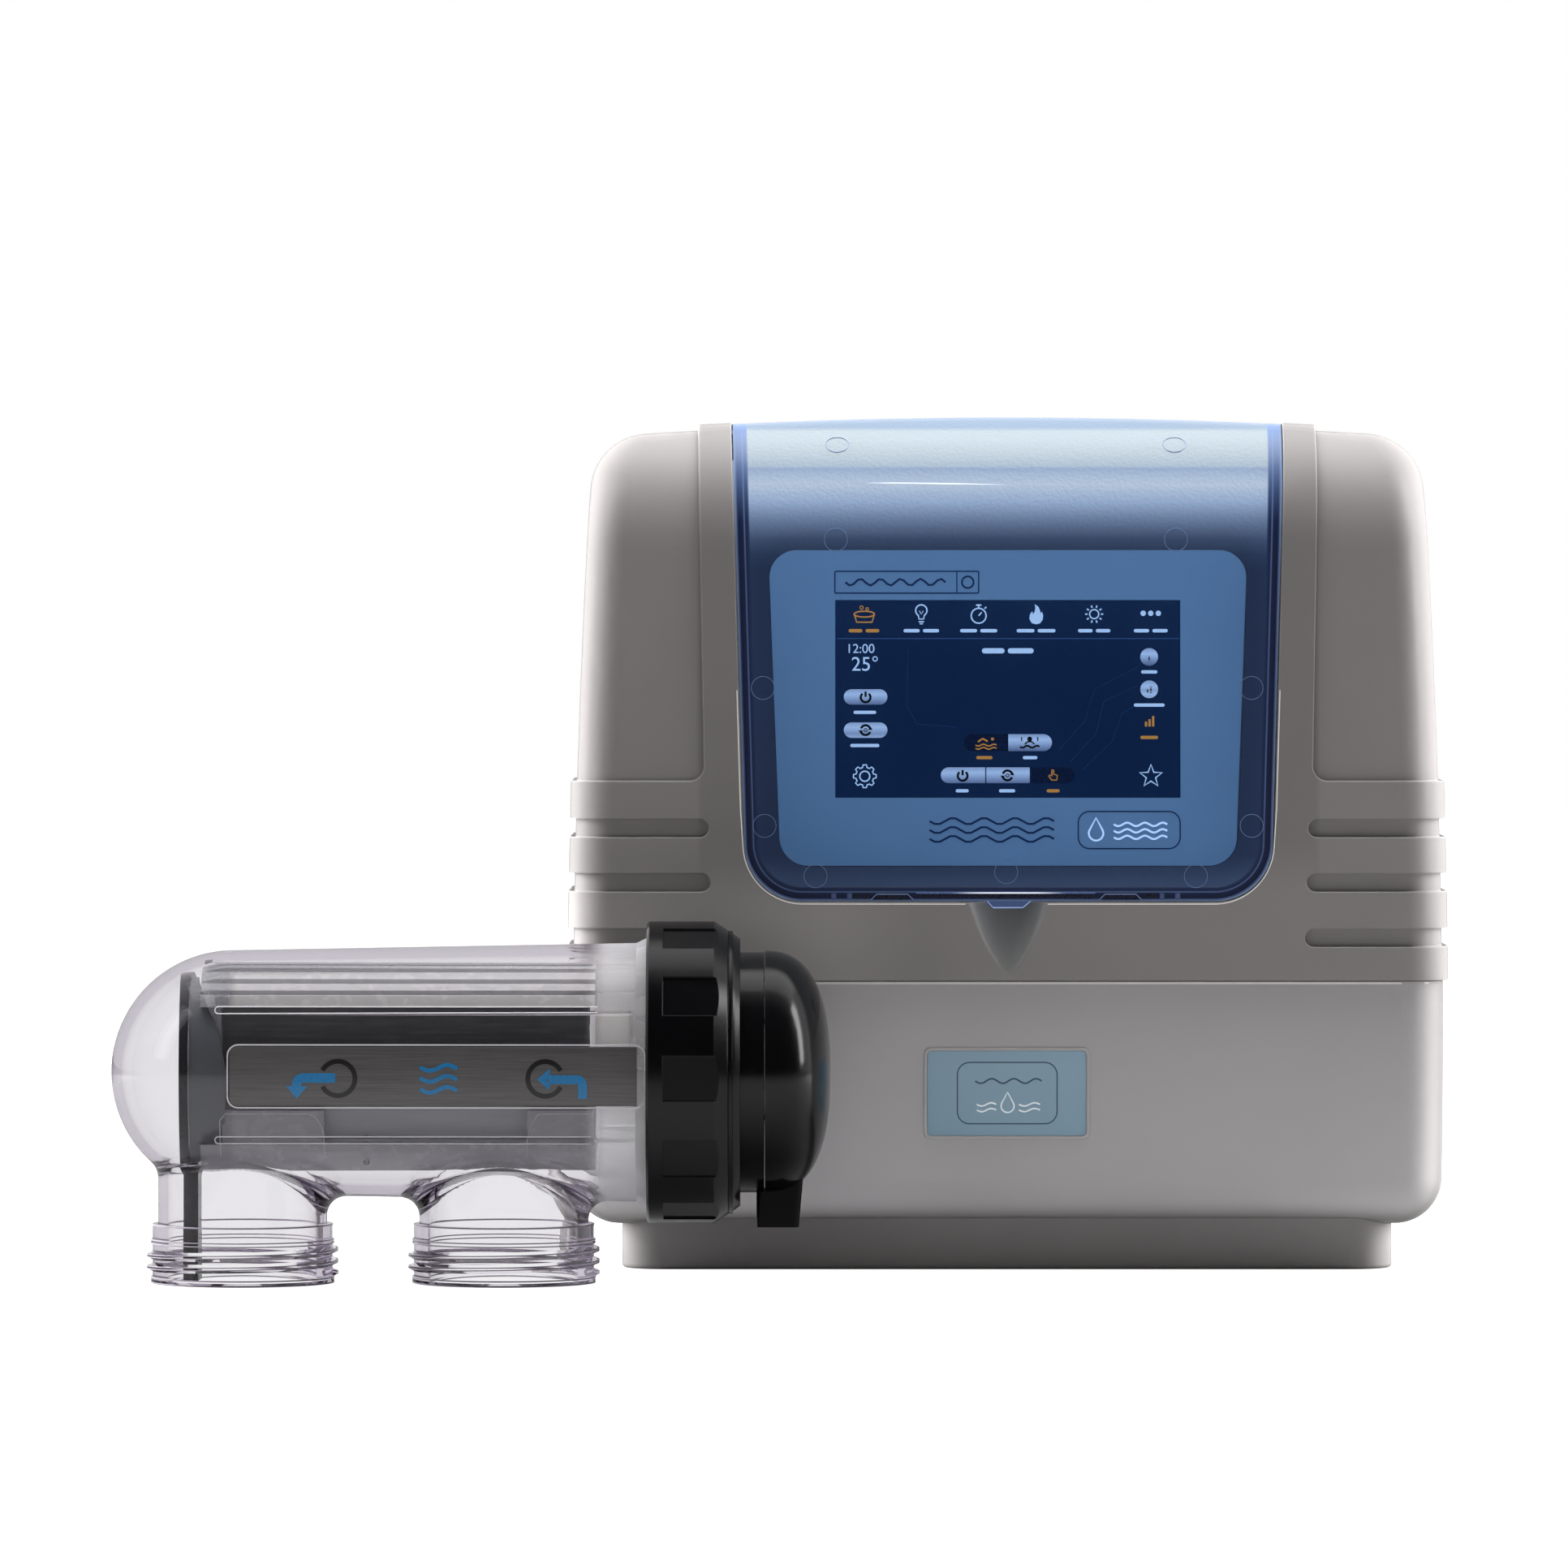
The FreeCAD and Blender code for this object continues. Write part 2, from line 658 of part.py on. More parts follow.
# ---------------------------------------------------------------- seal between the covers
gasket_zone = zone("gasket_zone", dim.part_plane + 0.05, dim.part_plane + 1.05, -10, 420)
piece(cut("cover_gasket", common("gasket_band", recess, gasket_zone), inside,
          mid_box("gasket_foot_gap", dim.plinth_half + 0.3, -60, 60, -10, 22.3)))

# ---------------------------------------------------------------- rear case with the foot
rear_front = dim.part_plane + 1.1
rear_outer = rounded(
    "rear_outer_round",
    common("rear_outer", recess, zone("rear_zone", rear_front, dim.rear_face, -10, 420)),
    4.0, lies_at("y", num(dim.rear_face)))
rear_room = common("rear_room", lower_inside,
                   zone("rear_room_zone", -120, dim.rear_face - 3.2, -10, 420))
rear_shell = cut("rear_shell", rear_outer, rear_room)

foot_raw = mid_box("foot_raw", dim.plinth_half, -dim.plinth_deep, dim.plinth_deep, 0, 22.0)
foot_block = rounded("foot_block", foot_raw, dim.plinth_corner, upright)
foot_block = rounded("foot_soft", foot_block, 1.6, lies_at("z", 0.0))
room_deep = dim.plinth_deep - dim.base_wall
foot_room = rounded(
    "foot_room", mid_box("foot_room_raw", dim.plinth_half - dim.base_wall,
                         -room_deep, room_deep, dim.base_wall, 40.0), 15.0, upright)
bay_wall = mid_box("bay_wall", 143, 22.8, dim.plinth_deep, 0, 19.0)
bay = mid_box("bay", dim.bay_half, 25.8, 80.0, -5.0, 18.4)
foot_ribs = [box("foot_rib", x - 1.25, x + 1.25, -54.0, 24.0, 1.0, 18.0)
             for x in (-102.0, -51.0, 0.0, 51.0, 102.0)]
foot = fuse("foot", cut("foot_shell", foot_block, foot_room), bay_wall, *foot_ribs)

tubes, tube_cuts = [], []
for x, z in COVER_SCREWS:
    tubes.append(cyl("tube", "y", x, rear_front, z, 6.5,
                     dim.rear_face - dim.part_plane - 1.6))
    tube_cuts.append(cyl("tube_bore", "y", x, 31.0, z, 4.3, 60.0))
    tube_cuts.append(cyl("tube_hole", "y", x, 0.0, z, 2.3, 60.0))
for x, z in POSTS:
    tubes.append(cyl("post", "y", x, 47.6, z, 4.0, 16.0))
    tube_cuts.append(cyl("post_pilot", "y", x, 30.0, z, 1.5, 27.0))
tubes.append(transformer_rod("transformer_seat", 60.4, 12.0, 3.0))
tube_cuts.append(transformer_rod("transformer_bolt_hole", 40.0, 3.05, 40.0))
windows = [box("window", x - 12.0, x + 12.0, 55.0, 70.0, 278.0, 293.2) for x in HOOKS_X]

# the fittings in the bay's ceiling stand in one row
GLAND_X, SOCKET_X, OUTLET_X, BREAKER_X = -112.0, -62.0, -8.0, 52.0
FITTINGS_Y = 41.0


def fitting_rod(name, x, z, radius, length):
    return cyl(name, "z", x, FITTINGS_Y, z, radius, length)


def fitting_box(name, x, half_x, half_y, z0, z1):
    return box(name, x - half_x, x + half_x, FITTINGS_Y - half_y, FITTINGS_Y + half_y, z0, z1)


fitting_holes = [fitting_rod("gland_hole", GLAND_X, 10.0, 8.1, 20.0),
                 fitting_box("socket_hole", SOCKET_X, 13.1, 11.1, 10.0, 30.0),
                 fitting_box("outlet_hole", OUTLET_X, 15.1, 12.1, 10.0, 30.0),
                 fitting_rod("breaker_hole", BREAKER_X, 10.0, 6.1, 20.0)]
vents = [box("vent", -60.0 + 12 * i, -54.0 + 12 * i, 60.0, 70.0, 190.0, 225.0)
         for i in range(6)]
piece(cut("rear_case", fuse("rear_solid", rear_shell, foot, *tubes),
          bay, *tube_cuts, *windows, *fitting_holes, *vents))

# ---------------------------------------------------------------- cover screws
cover_screws = []
for x, z in COVER_SCREWS:
    screw = fuse("cover_screw_raw", cyl("cover_screw_head", "y", x, 31.0, z, 3.9, 3.0),
                 cyl("cover_screw_shank", "y", x, 4.0, z, 2.0, 27.2))
    cross = [box("cover_screw_slot", x - a, x + a, 32.6, 36.0, z - b, z + b)
             for a, b in ((2.4, 0.45), (0.45, 2.4))]
    cover_screws.append(cut("cover_screw", screw, *cross))
piece(group("cover_screws", *cover_screws))

# ---------------------------------------------------------------- lid and hinge pins
lid_outline = lid_prism("lid_outline", 0.0, dim.lid_rear)
lid_inside = lid_prism("lid_inside", -dim.lid_skin, 40.0)
tab = prism("lid_tab", trapezoid(5.9, 144.9, 10.4, dim.lid_bottom + 1.0), 0.0, 100.0)
lid_shell = cut("lid_shell", common("lid_block", lid_outline, lid_form), rim_form,
                common("lid_room", lid_inside, lid_form_inside))
tab_shell = cut("tab_shell", common("tab_block", tab, lid_form), lid_form_inside)
knuckles = hinge_rods("knuckle", 102.5, 7.4, 5.0)
knuckle_bores = hinge_rods("knuckle_bore", 103.8, 8.2, dim.hinge_pin_radius + 0.05)
snaps = [leaning("snap", x - 9.0, x + 9.0, 2.6, 8.6, 34.3, 36.8) for x in (-46.3, 45.0)]
piece(cut("lid", fuse("lid_solid", lid_shell, tab_shell, *knuckles, *snaps),
          *knuckle_bores))
piece(group("hinge_pins", *hinge_rods("hinge_pin", 104.0, 9.6, dim.hinge_pin_radius)))

# ---------------------------------------------------------------- fascia, glass and display
SCREEN_UP = (num(dim.screen_centre) - num(dim.seam_height)) / UPPER[1][1] + 0.8


def screen_box(name, half_x, depth0, depth1, half_up):
    """A box centred on the screen."""
    return leaning(name, -half_x, half_x, depth0, depth1,
                   SCREEN_UP - half_up, SCREEN_UP + half_up)


glass_half_x, glass_half_up = 0.5 * dim.screen_width, 0.5 * dim.screen_height
fascia_form = hull("form_fascia", 12.6)
fascia_points = trapezoid(dim.fascia_half_low, dim.fascia_bottom,
                          dim.fascia_half_top, dim.fascia_top)
fascia_prism = round_body(prism("fascia_outline", fascia_points, 0.0, 100.0), 11.0, along_y)
piece(cut("display_fascia", common("fascia_block", fascia_prism, fascia_form), well_form,
          screen_box("glass_hole", glass_half_x + 0.2, 9.0, 20.0, glass_half_up + 0.2)))
piece(screen_box("touch_glass", glass_half_x, 12.7, 13.8, glass_half_up))
lcd_driver = leaning("lcd_driver", -30.0, 30.0, 23.0, 24.6,
                     SCREEN_UP - 38.0, SCREEN_UP - 10.0)
lcd_solid = fuse("lcd_solid", screen_box("lcd_cell", 68.9, 13.85, 18.4, 39.4),
                 screen_box("lcd_frame", 77.0, 18.2, 23.0, 46.0), lcd_driver)
piece(cut("lcd_module", lcd_solid, screen_box("lcd_glass_step", 67.0, 13.0, 14.1, 37.8)))

# ---------------------------------------------------------------- control board
# x, width, distance up the upper front, height, thickness
CHIPS = [(-14, 20, 96, 20, 2.0), (20, 12, 100, 12, 1.6), (-50, 14, 90, 9, 1.8),
         (-80, 22, 120, 12, 9.0), (52, 26, 60, 10, 8.5), (10, 8, 130, 4, 3.5),
         (-40, 6, 70, 6, 5.0), (-30, 6, 70, 6, 5.0), (64, 18, 128, 18, 7.0)]
control_pcb = leaning("control_pcb", -104.0, 104.0, 30.0, 31.6, 34.0, 168.0)
pcb_holes = [leaning_peg("pcb_hole", x, up, 25.0, 36.0, 1.7) for x, up in STANDOFFS]
chips = [leaning("chip", x, x + width, 31.5, 31.6 + thick, up, up + height)
         for x, width, up, height, thick in CHIPS]
header = leaning("ribbon_header", -46.0, -14.0, 31.5, 37.0, 48.0, 54.0)
piece(cut("control_board", fuse("control_solid", control_pcb, header, *chips), *pcb_holes))

# ---------------------------------------------------------------- power board
# x, width, z, height, thickness
POWER_BITS = [(-46, 32, 188, 6, 6.0), (-60, 22, 206, 22, 14.0), (-30, 8, 200, 26, 9.0),
              (0, 22, 196, 22, 12.0), (-5, 8, 150, 24, 9.0), (12, 10, 226, 14, 10.0),
              (-70, 8, 234, 12, 6.0)]
BOARD_FRONT = 46.0
# parts on the board stop just short of it
SEAT = 45.95
power_pcb = box("power_pcb", -140, 30, BOARD_FRONT, 47.6, 120, 290)
power_holes = [cyl("power_hole", "y", x, 40.0, z, 1.7, 10.0) for x, z in POSTS]
power_bits = [box("power_bit", x, x + width, 46.1 - thick, 46.1, z, z + height)
              for x, width, z, height, thick in POWER_BITS]
piece(cut("power_board", fuse("power_solid", power_pcb, *power_bits), *power_holes))

board_screws = [fuse("board_screw", cyl("screw_head", "y", x, 44.0, z, 3.0, 2.0),
                     cyl("screw_shank", "y", x, 45.9, z, 1.45, 10.0)) for x, z in POSTS]
board_screws += [fuse("board_screw", leaning_peg("screw_head", x, up, 31.6, 33.6, 3.0),
                      leaning_peg("screw_shank", x, up, 24.0, 31.7, 1.45))
                 for x, up in STANDOFFS]
piece(group("board_screws", *board_screws))

FIN_PITCH = 8.571
fins = [box("sink_fin", -136.0 + FIN_PITCH * i, -134.0 + FIN_PITCH * i, 12.0, 41.1, 198, 274)
        for i in range(8)]
piece(fuse("heat_sink", box("sink_base", -136, -74, 41.0, SEAT, 198, 274), *fins))

# capacitor cans with a cross cut into their front ends
CAN_FRONT, CAN_Z = 12.0, 262.0
capacitors = []
for x in (-56.0, -30.0, -4.0):
    can = cyl("can_raw", "y", x, CAN_FRONT, CAN_Z, 11.0, 33.9)
    can = rounded("can", can, 1.2, lies_at("y", CAN_FRONT))
    cross = [box("can_vent", x - a, x + a, 11.0, 12.5, CAN_Z - b, CAN_Z + b)
             for a, b in ((8, 0.3), (0.3, 8))]
    capacitors.append(cut("capacitor", can, *cross))
piece(group("capacitors", *capacitors))

relays = [rounded("relay", box("relay_raw", x, x + 20.0, 26.0, SEAT, 154, 184), 1.0,
                  lambda e: e.Vertexes[0].Y < 27 and e.Vertexes[-1].Y < 27)
          for x in (-126.0, -101.0, -76.0)]
piece(group("relays", *relays))

TERMINALS_X = [-120.5 + 11.6 * i for i in range(12)]
TERMINALS_Y = 39.0
terminal_holes = [cyl("terminal_wire", "z", x, TERMINALS_Y, 130.0, 3.0, 10.8)
                  for x in TERMINALS_X]
terminal_holes += [cyl("terminal_screw", "y", x, 31.0, 142.0, 2.6, 4.4)
                   for x in TERMINALS_X]
piece(cut("terminal_block", box("terminal_body", -128, 14, 32.0, SEAT, 133, 147),
          *terminal_holes))

# ---------------------------------------------------------------- transformer and its bolt
toroid = cut("toroid", transformer_rod("toroid_outer", 18.0, 52.0, 42.3),
             transformer_rod("toroid_inner", 10.0, 17.0, 60.0))
piece(rounded("transformer", toroid, 8.0, lambda e: e.Length > 60 and spans(e)[1] < 1e-6))
clamp_plate = cone("clamp_plate", "y", TRANSFORMER[0], 13.0, TRANSFORMER[1], 40.0, 46.0, 4.9)
piece(fuse("transformer_bolt", clamp_plate, transformer_rod("bolt_shank", 12.0, 3.0, 53.9),
           transformer_rod("bolt_head", 9.0, 5.4, 4.1)))

# ---------------------------------------------------------------- ribbon cable
# (y, z) along the upper side from the control board back to the power board, and back
# along the lower side
RIBBON = [(-31.6, 164.4), (-20.0, 161.0), (0.0, 160.0), (18.0, 165.0), (32.0, 180.0),
          (39.9, 190.4), (39.9, 191.7), (31.2, 180.8), (17.5, 166.1), (-0.1, 161.1),
          (-19.8, 162.1), (-31.6, 165.6)]
piece(prism("ribbon_cable", RIBBON, -45.0, 30.0, role="YZ_Plane"))

# ---------------------------------------------------------------- fittings under the rear
gland_dome = rounded("gland_dome", fitting_rod("gland_dome_raw", GLAND_X, 2.5, 9.6, 11.8),
                     3.0, lies_at("z", 2.5))
gland_solid = fuse("gland_solid", fitting_rod("gland_thread", GLAND_X, 14.0, 7.95, 14.0),
                   fitting_rod("gland_flange", GLAND_X, 14.2, 11.0, 4.1), gland_dome)
piece(cut("mains_gland", gland_solid, fitting_rod("gland_bore", GLAND_X, 0.0, 4.5, 16.5),
          fitting_rod("gland_bore_top", GLAND_X, 16.4, 5.2, 20.0)))
NUT_ACROSS_FLATS = 21.0
gland_hex = place(hexagon("gland_hex", NUT_ACROSS_FLATS / math.sqrt(3), 4.5),
                  GLAND_X, FITTINGS_Y, 21.2)
piece(cut("gland_nut", gland_hex, fitting_rod("gland_hex_bore", GLAND_X, 20.0, 8.0, 10.0)))

socket_solid = fuse("socket_solid",
                    fitting_box("socket_flange", SOCKET_X, 15.5, 13.5, 15.0, 18.3),
                    fitting_box("socket_body", SOCKET_X, 13, 11, 15.0, 39.0))
socket_well = rounded("socket_well",
                      fitting_box("socket_well_raw", SOCKET_X, 10.5, 8.5, 10.0, 29.0),
                      2.0, upright)
socket_pins = [cyl("socket_pin", "z", SOCKET_X + x, FITTINGS_Y + y, 18.0, 1.2, 12.0)
               for x, y in ((-6, -3), (0, 4), (6, -3))]
piece(fuse("cell_lead_socket", cut("socket_shell", socket_solid, socket_well),
           *socket_pins))

outlet_solid = fuse("outlet_solid",
                    fitting_box("outlet_flange", OUTLET_X, 18, 14.5, 15.4, 18.3),
                    fitting_box("outlet_body", OUTLET_X, 15, 12, 15.4, 40.0))
# x and y ranges from the outlet's centre
OUTLET_SLOTS = [(-8.5, -2.5, 1.0, 3.0), (2.5, 8.5, 1.0, 3.0), (-1.0, 1.0, -8.5, -2.0)]
piece(cut("pump_outlet", outlet_solid,
          *[box("outlet_slot", OUTLET_X + x0, OUTLET_X + x1,
                FITTINGS_Y + y0, FITTINGS_Y + y1, 10, 34)
            for x0, x1, y0, y1 in OUTLET_SLOTS]))

breaker_solid = fuse("breaker_solid",
                     fitting_rod("breaker_flange", BREAKER_X, 15.3, 8.6, 3.0),
                     fitting_rod("breaker_neck", BREAKER_X, 15.3, 6.0, 8.0),
                     box("breaker_block", BREAKER_X - 8, BREAKER_X + 8,
                         FITTINGS_Y - 15, FITTINGS_Y + 11.5, 21.2, 54.0))
piece(cut("breaker_body", breaker_solid,
          fitting_rod("breaker_bore", BREAKER_X, 10.0, 3.55, 17.0),
          fitting_rod("breaker_chamber", BREAKER_X, 18.9, 4.4, 4.2)))
piece(fuse("breaker_button", fitting_rod("button_stem", BREAKER_X, 11.0, 3.5, 12.5),
           fitting_rod("button_collar", BREAKER_X, 19.0, 4.3, 1.6)))

# straight wires: x and z of the lower end, and the terminal each one reaches
WIRES = [(GLAND_X - 2.5, 28.5, 0), (GLAND_X + 2.5, 28.5, 1), (SOCKET_X - 5.0, 39.2, 5),
         (SOCKET_X + 5.0, 39.2, 6), (OUTLET_X - 6.0, 40.2, 9), (OUTLET_X + 6.0, 40.2, 10)]
wires = []
for x, z, terminal in WIRES:
    low_end = Vector(x, 40.5, z)
    top_end = Vector(TERMINALS_X[terminal], TERMINALS_Y, 140.0)
    wire = make("Cylinder", "wire", Radius=1.9, Height=low_end.distanceToPoint(top_end))
    wire.Placement = Placement(low_end, Rotation(Vector(0, 0, 1), top_end.sub(low_end)))
    wires.append(wire)
piece(group("wiring_loom", *wires))

# ---------------------------------------------------------------- wall bracket
bracket_raw = mid_box("bracket_raw", 0.5 * dim.bracket_width, 66.3, 68.8, 262.0, 312.0)
bracket_plate = rounded("bracket_plate", bracket_raw, 6.0, along_y)
arms = []
for x in HOOKS_X:
    arms.append(box("arm", x - 10, x + 10, 60.0, 66.4, 286.0, 292.8))
    arms.append(box("hook", x - 10, x + 10, 60.0, 62.3, 286.0, 300.4))
bracket_cuts = []
for x, z in ((-86.0, 271.0), (86.0, 271.0), (-86.0, 303.0), (86.0, 303.0)):
    bracket_cuts.append(cyl("bracket_hole", "y", x, 60.0, z, dim.bracket_hole_radius, 20.0))
    bracket_cuts.append(cone("bracket_sink", "y", x, 66.0, z, 6.05, 3.25, 2.0))
piece(cut("wall_bracket", fuse("bracket_solid", bracket_plate, *arms), *bracket_cuts))


# ---------------------------------------------------------------- helpers on the cell's axis
# y and z below are measured from the axis, x is not
def cell_turned(name, runs):
    return place(turned(name, runs), 0.0, -dim.cell_back, dim.cell_height)


def cell_rod(name, x0, x1, radius, y=0.0, z=0.0):
    return cyl(name, "x", x0, y - dim.cell_back, z + dim.cell_height, radius, x1 - x0)


def cell_cone(name, x0, x1, radius0, radius1):
    return cone(name, "x", x0, -dim.cell_back, dim.cell_height, radius0, radius1, x1 - x0)


def cell_box(name, x0, x1, y0, y1, z0, z1):
    return box(name, x0, x1, y0 - dim.cell_back, y1 - dim.cell_back,
               z0 + dim.cell_height, z1 + dim.cell_height)


def cell_sphere(name, x, radius):
    return place(make("Sphere", name, Radius=radius), x, -dim.cell_back, dim.cell_height)


def port_rod(name, x, z, radius, length):
    """An upright cylinder on a port's axis; z is from the floor."""
    return cyl(name, "z", x, -dim.cell_back, z, radius, length)


# ---------------------------------------------------------------- cell housing
BARREL_X, MOUTH_X, MOUTH_END = -dim.barrel_left, -dim.mouth_left, -dim.mouth_right
SHOULDER_X = -dim.ring_left - 4.0
PORTS_X = (-dim.port_left, -dim.port_right)
left_radius, right_radius = dim.barrel_radius_left, dim.barrel_radius_right

# dome, tapered barrel, shoulder and mouth
outer_wall = fuse(
    "housing_outer", cell_sphere("dome_outer", BARREL_X, left_radius),
    cell_cone("barrel_outer", BARREL_X, SHOULDER_X, left_radius, right_radius),
    cell_cone("shoulder_outer", SHOULDER_X - 0.05, MOUTH_X, right_radius, dim.mouth_radius),
    cell_rod("mouth_outer", MOUTH_X - 0.01, MOUTH_END, dim.mouth_radius))
necks = [port_rod("neck", x, 8.0, dim.port_radius, dim.cell_height - 8.0) for x in PORTS_X]
housing_body = fuse("housing_body", outer_wall, *necks)
doc.recompute()


def saddle(edge):
    """True where a neck meets the barrel or the dome."""
    faces = housing_body.Shape.ancestorsOfType(edge, Part.Face)
    if len(faces) != 2:
        return False
    surfaces = [f.Surface for f in faces]
    is_neck = [s.TypeId == "Part::GeomCylinder" and abs(s.Axis.z) > 0.9 for s in surfaces]
    return is_neck.count(True) == 1 and midpoint(edge).z > 20


# the largest saddle fillet that gives a valid solid is kept, else the edges stay sharp
picked = edge_numbers(housing_body.Shape, saddle)
housing_rounded = housing_body
for radius in (7.5, 6.0, 4.5, 3.0):
    trial = doc.addObject("Part::Fillet", "housing_saddle")
    trial.Base = housing_body
    trial.Edges = [(i, radius, radius) for i in picked]
    doc.recompute()
    if not trial.Shape.isNull() and trial.Shape.isValid() and "Invalid" not in trial.State:
        housing_rounded = trial
        break
    doc.removeObject(trial.Name)


def port_thread(x):
    """The helical thread around a port's collar."""
    root = dim.collar_radius - 0.3
    root_radius, crest_radius = num(root), num(dim.crest_radius)
    helix = make("Helix", "thread_path", Pitch=dim.thread_pitch, Height=9.6, Radius=root)
    section = doc.addObject("Part::Polygon", "thread_section")
    section.Nodes = [Vector(root_radius, 0, -1.9), Vector(crest_radius, 0, -0.55),
                     Vector(crest_radius, 0, 0.55), Vector(root_radius, 0, 1.9)]
    section.Close = True
    sweep = doc.addObject("Part::Sweep", "thread")
    sweep.Sections = [section]
    sweep.Spine = (helix, [])
    sweep.Solid = True
    sweep.Frenet = True
    return place(sweep, x, -dim.cell_back, 3.9)


collars = []
for x in PORTS_X:
    collars += [port_rod("collar", x, 0.0, dim.collar_radius, dim.collar_height),
                port_rod("pilot", x, 0.0, dim.pilot_radius, 2.4),
                port_rod("relief", x, 15.6, dim.pilot_radius, 1.6), port_thread(x)]
doc.recompute()

# ridges around the mouth, each a rising and a falling cone
RIDGES_X = (-137.5, -132.5, -127.5, -122.5)
ridges = [cell_cone("ridge_rise", x, x + 1.3, 53.9, 55.2) for x in RIDGES_X]
ridges += [cell_cone("ridge_fall", x + 1.3, x + 2.6, 55.2, 53.9) for x in RIDGES_X]
rails = [cell_box("rail", -311.5, -149.0, y0, y1, z - 0.8, z + 0.8)
         for y0, y1 in ((-41.5, -36.2), (36.2, 41.5)) for z in (24.0, -24.0)]


def label_box(name, grow, radius):
    """The label's rounded rectangle grown outwards, reaching through the front wall."""
    block = cell_box(name, -305.4 - grow, -144.2 + grow, -70.0, -30.0,
                     -11.2 - grow, 12.1 + grow)
    return rounded(name + "_round", block, radius, along_y)


label_rim = cut(
    "label_rim", common("label_rim_band", label_box("rim_out", 1.1, 4.0),
                        cell_cone("rim_cone", BARREL_X - 1.5, MOUTH_X,
                                  left_radius + 0.9, right_radius + 0.95)),
    label_box("rim_in", 0.0, 3.0))
inner_radius = left_radius - dim.barrel_wall
inner_wall = fuse("housing_inner", cell_sphere("dome_inner", BARREL_X, inner_radius),
                  cell_cone("barrel_inner", BARREL_X, MOUTH_END + 2.0,
                            inner_radius, dim.mouth_bore))
port_bores = [port_rod("port_bore", x, -5.0, dim.port_bore, dim.cell_height)
              for x in PORTS_X]
port_leads = [cone("port_lead", "z", x, -dim.cell_back, -0.01,
                   dim.port_bore + 1.2, dim.port_bore, 1.21) for x in PORTS_X]
housing_solid = fuse("housing_solid", housing_rounded, *collars, *ridges, label_rim)
housing_shell = cut("housing_shell", housing_solid, inner_wall, *port_bores, *port_leads)
rail_limit = cell_cone("rail_limit", BARREL_X - 8.0, MOUTH_END,
                       left_radius - 2.0, right_radius - 2.0)
rail_set = common("rail_set", group("rail_group", *rails), rail_limit)
piece(fuse("cell_housing", housing_shell, rail_set))

# ---------------------------------------------------------------- label on the barrel
label_left, label_right = left_radius + 0.02, right_radius + 0.02
label_band = common("label_band", label_box("label_box", -0.15, 2.85),
                    cell_cone("label_out", BARREL_X - 1.5, -dim.ring_left + 0.4,
                              left_radius + 0.42, right_radius + 0.42))
# the left end's cone is a hair off a cylinder, since a cone needs two different radii
piece(cut("cell_label", label_band,
          cell_cone("label_in", BARREL_X, SHOULDER_X, label_left, label_right),
          cell_cone("label_in_left", BARREL_X - 3.0, BARREL_X,
                    label_left, label_left + 0.0001),
          cell_cone("label_in_right", SHOULDER_X - 0.05, MOUTH_X,
                    label_right, dim.mouth_radius + 0.02)))

# ---------------------------------------------------------------- locking ring
ring_left, ring_right = -dim.ring_left, -dim.ring_right
LIP_X = -109.7
# (x, radius) around the section
ring_points = [
    (ring_left, dim.ring_bore), (ring_left, dim.ring_radius - 1.0),
    (ring_left + 1.0, dim.ring_radius), (-dim.ring_chamfer_start, dim.ring_radius),
    (ring_right - 1.9, dim.ring_nose_radius), (ring_right, dim.ring_nose_radius - 1.4),
    (ring_right, dim.ring_lip_bore), (LIP_X, dim.ring_lip_bore), (LIP_X, dim.ring_bore)]
ring_body = cell_turned("ring_turned", loop(ring_points))
GRIPS, GRIP_WIDTH, GRIP_DEPTH = 11, 17.4, 1.35
grips = []
for i in range(GRIPS):
    angle = 90.0 + 360.0 / GRIPS * i
    offset = Rotation(Vector(1, 0, 0), angle).multVec(
        Vector(0, -GRIP_WIDTH / 2, num(dim.ring_radius) - GRIP_DEPTH))
    grip = make("Box", "grip", Length=40.0, Width=GRIP_WIDTH, Height=6.0)
    grips.append(place(grip, -136.8, offset.y - num(dim.cell_back),
                       offset.z + num(dim.cell_height), (1, 0, 0), angle))
piece(cut("locking_ring", ring_body, *grips))

# ---------------------------------------------------------------- cap that carries the posts
plug_left, cap_right = -dim.plug_left, -dim.cap_right
# (x, radius) around the section, with a seal groove in the plug
cap_points = [
    (plug_left, 40.0), (plug_left, dim.plug_radius - 1.0),
    (plug_left + 1.0, dim.plug_radius), (-127.4, dim.plug_radius), (-127.4, 43.0),
    (-123.0, 43.0), (-123.0, dim.plug_radius), (-112.9, dim.plug_radius),
    (-112.9, dim.cap_flange_radius), (-109.8, dim.cap_flange_radius),
    (-109.8, dim.cap_radius), (cap_right, dim.cap_radius), (cap_right, 43.6),
    (-106.0, 43.6), (-106.0, 0.0), (-112.5, 0.0), (-112.5, 40.0)]
cap_body = cell_turned("cap_turned", loop(cap_points))
# (y, z) from the cell's axis
POSTS_AT = ((-14.0, 4.5), (14.0, -8.5), (0.0, 17.0))
CAP_SCREWS_AT = ((28.0, 19.0), (28.0, -19.0))
cap_bosses = [cell_rod("cap_boss", -106.5, cap_right, 4.4, y, z) for y, z in CAP_SCREWS_AT]
cap_holes = [cell_rod("post_hole", -120.0, -100.0, 3.0, y, z) for y, z in POSTS_AT]
cap_holes += [cell_rod("cap_pilot", -104.5, -90.0, 1.5, y, z) for y, z in CAP_SCREWS_AT]
piece(cut("cell_cap", fuse("cap_solid", cap_body, *cap_bosses), *cap_holes))
piece(place(make("Torus", "cap_seal", Radius1=44.8, Radius2=1.74),
            -125.2, -dim.cell_back, dim.cell_height, (0, 1, 0), 90))

# ---------------------------------------------------------------- terminal cover
COVER_X = -num(dim.cover_left)
COVER_WALL = 2.6


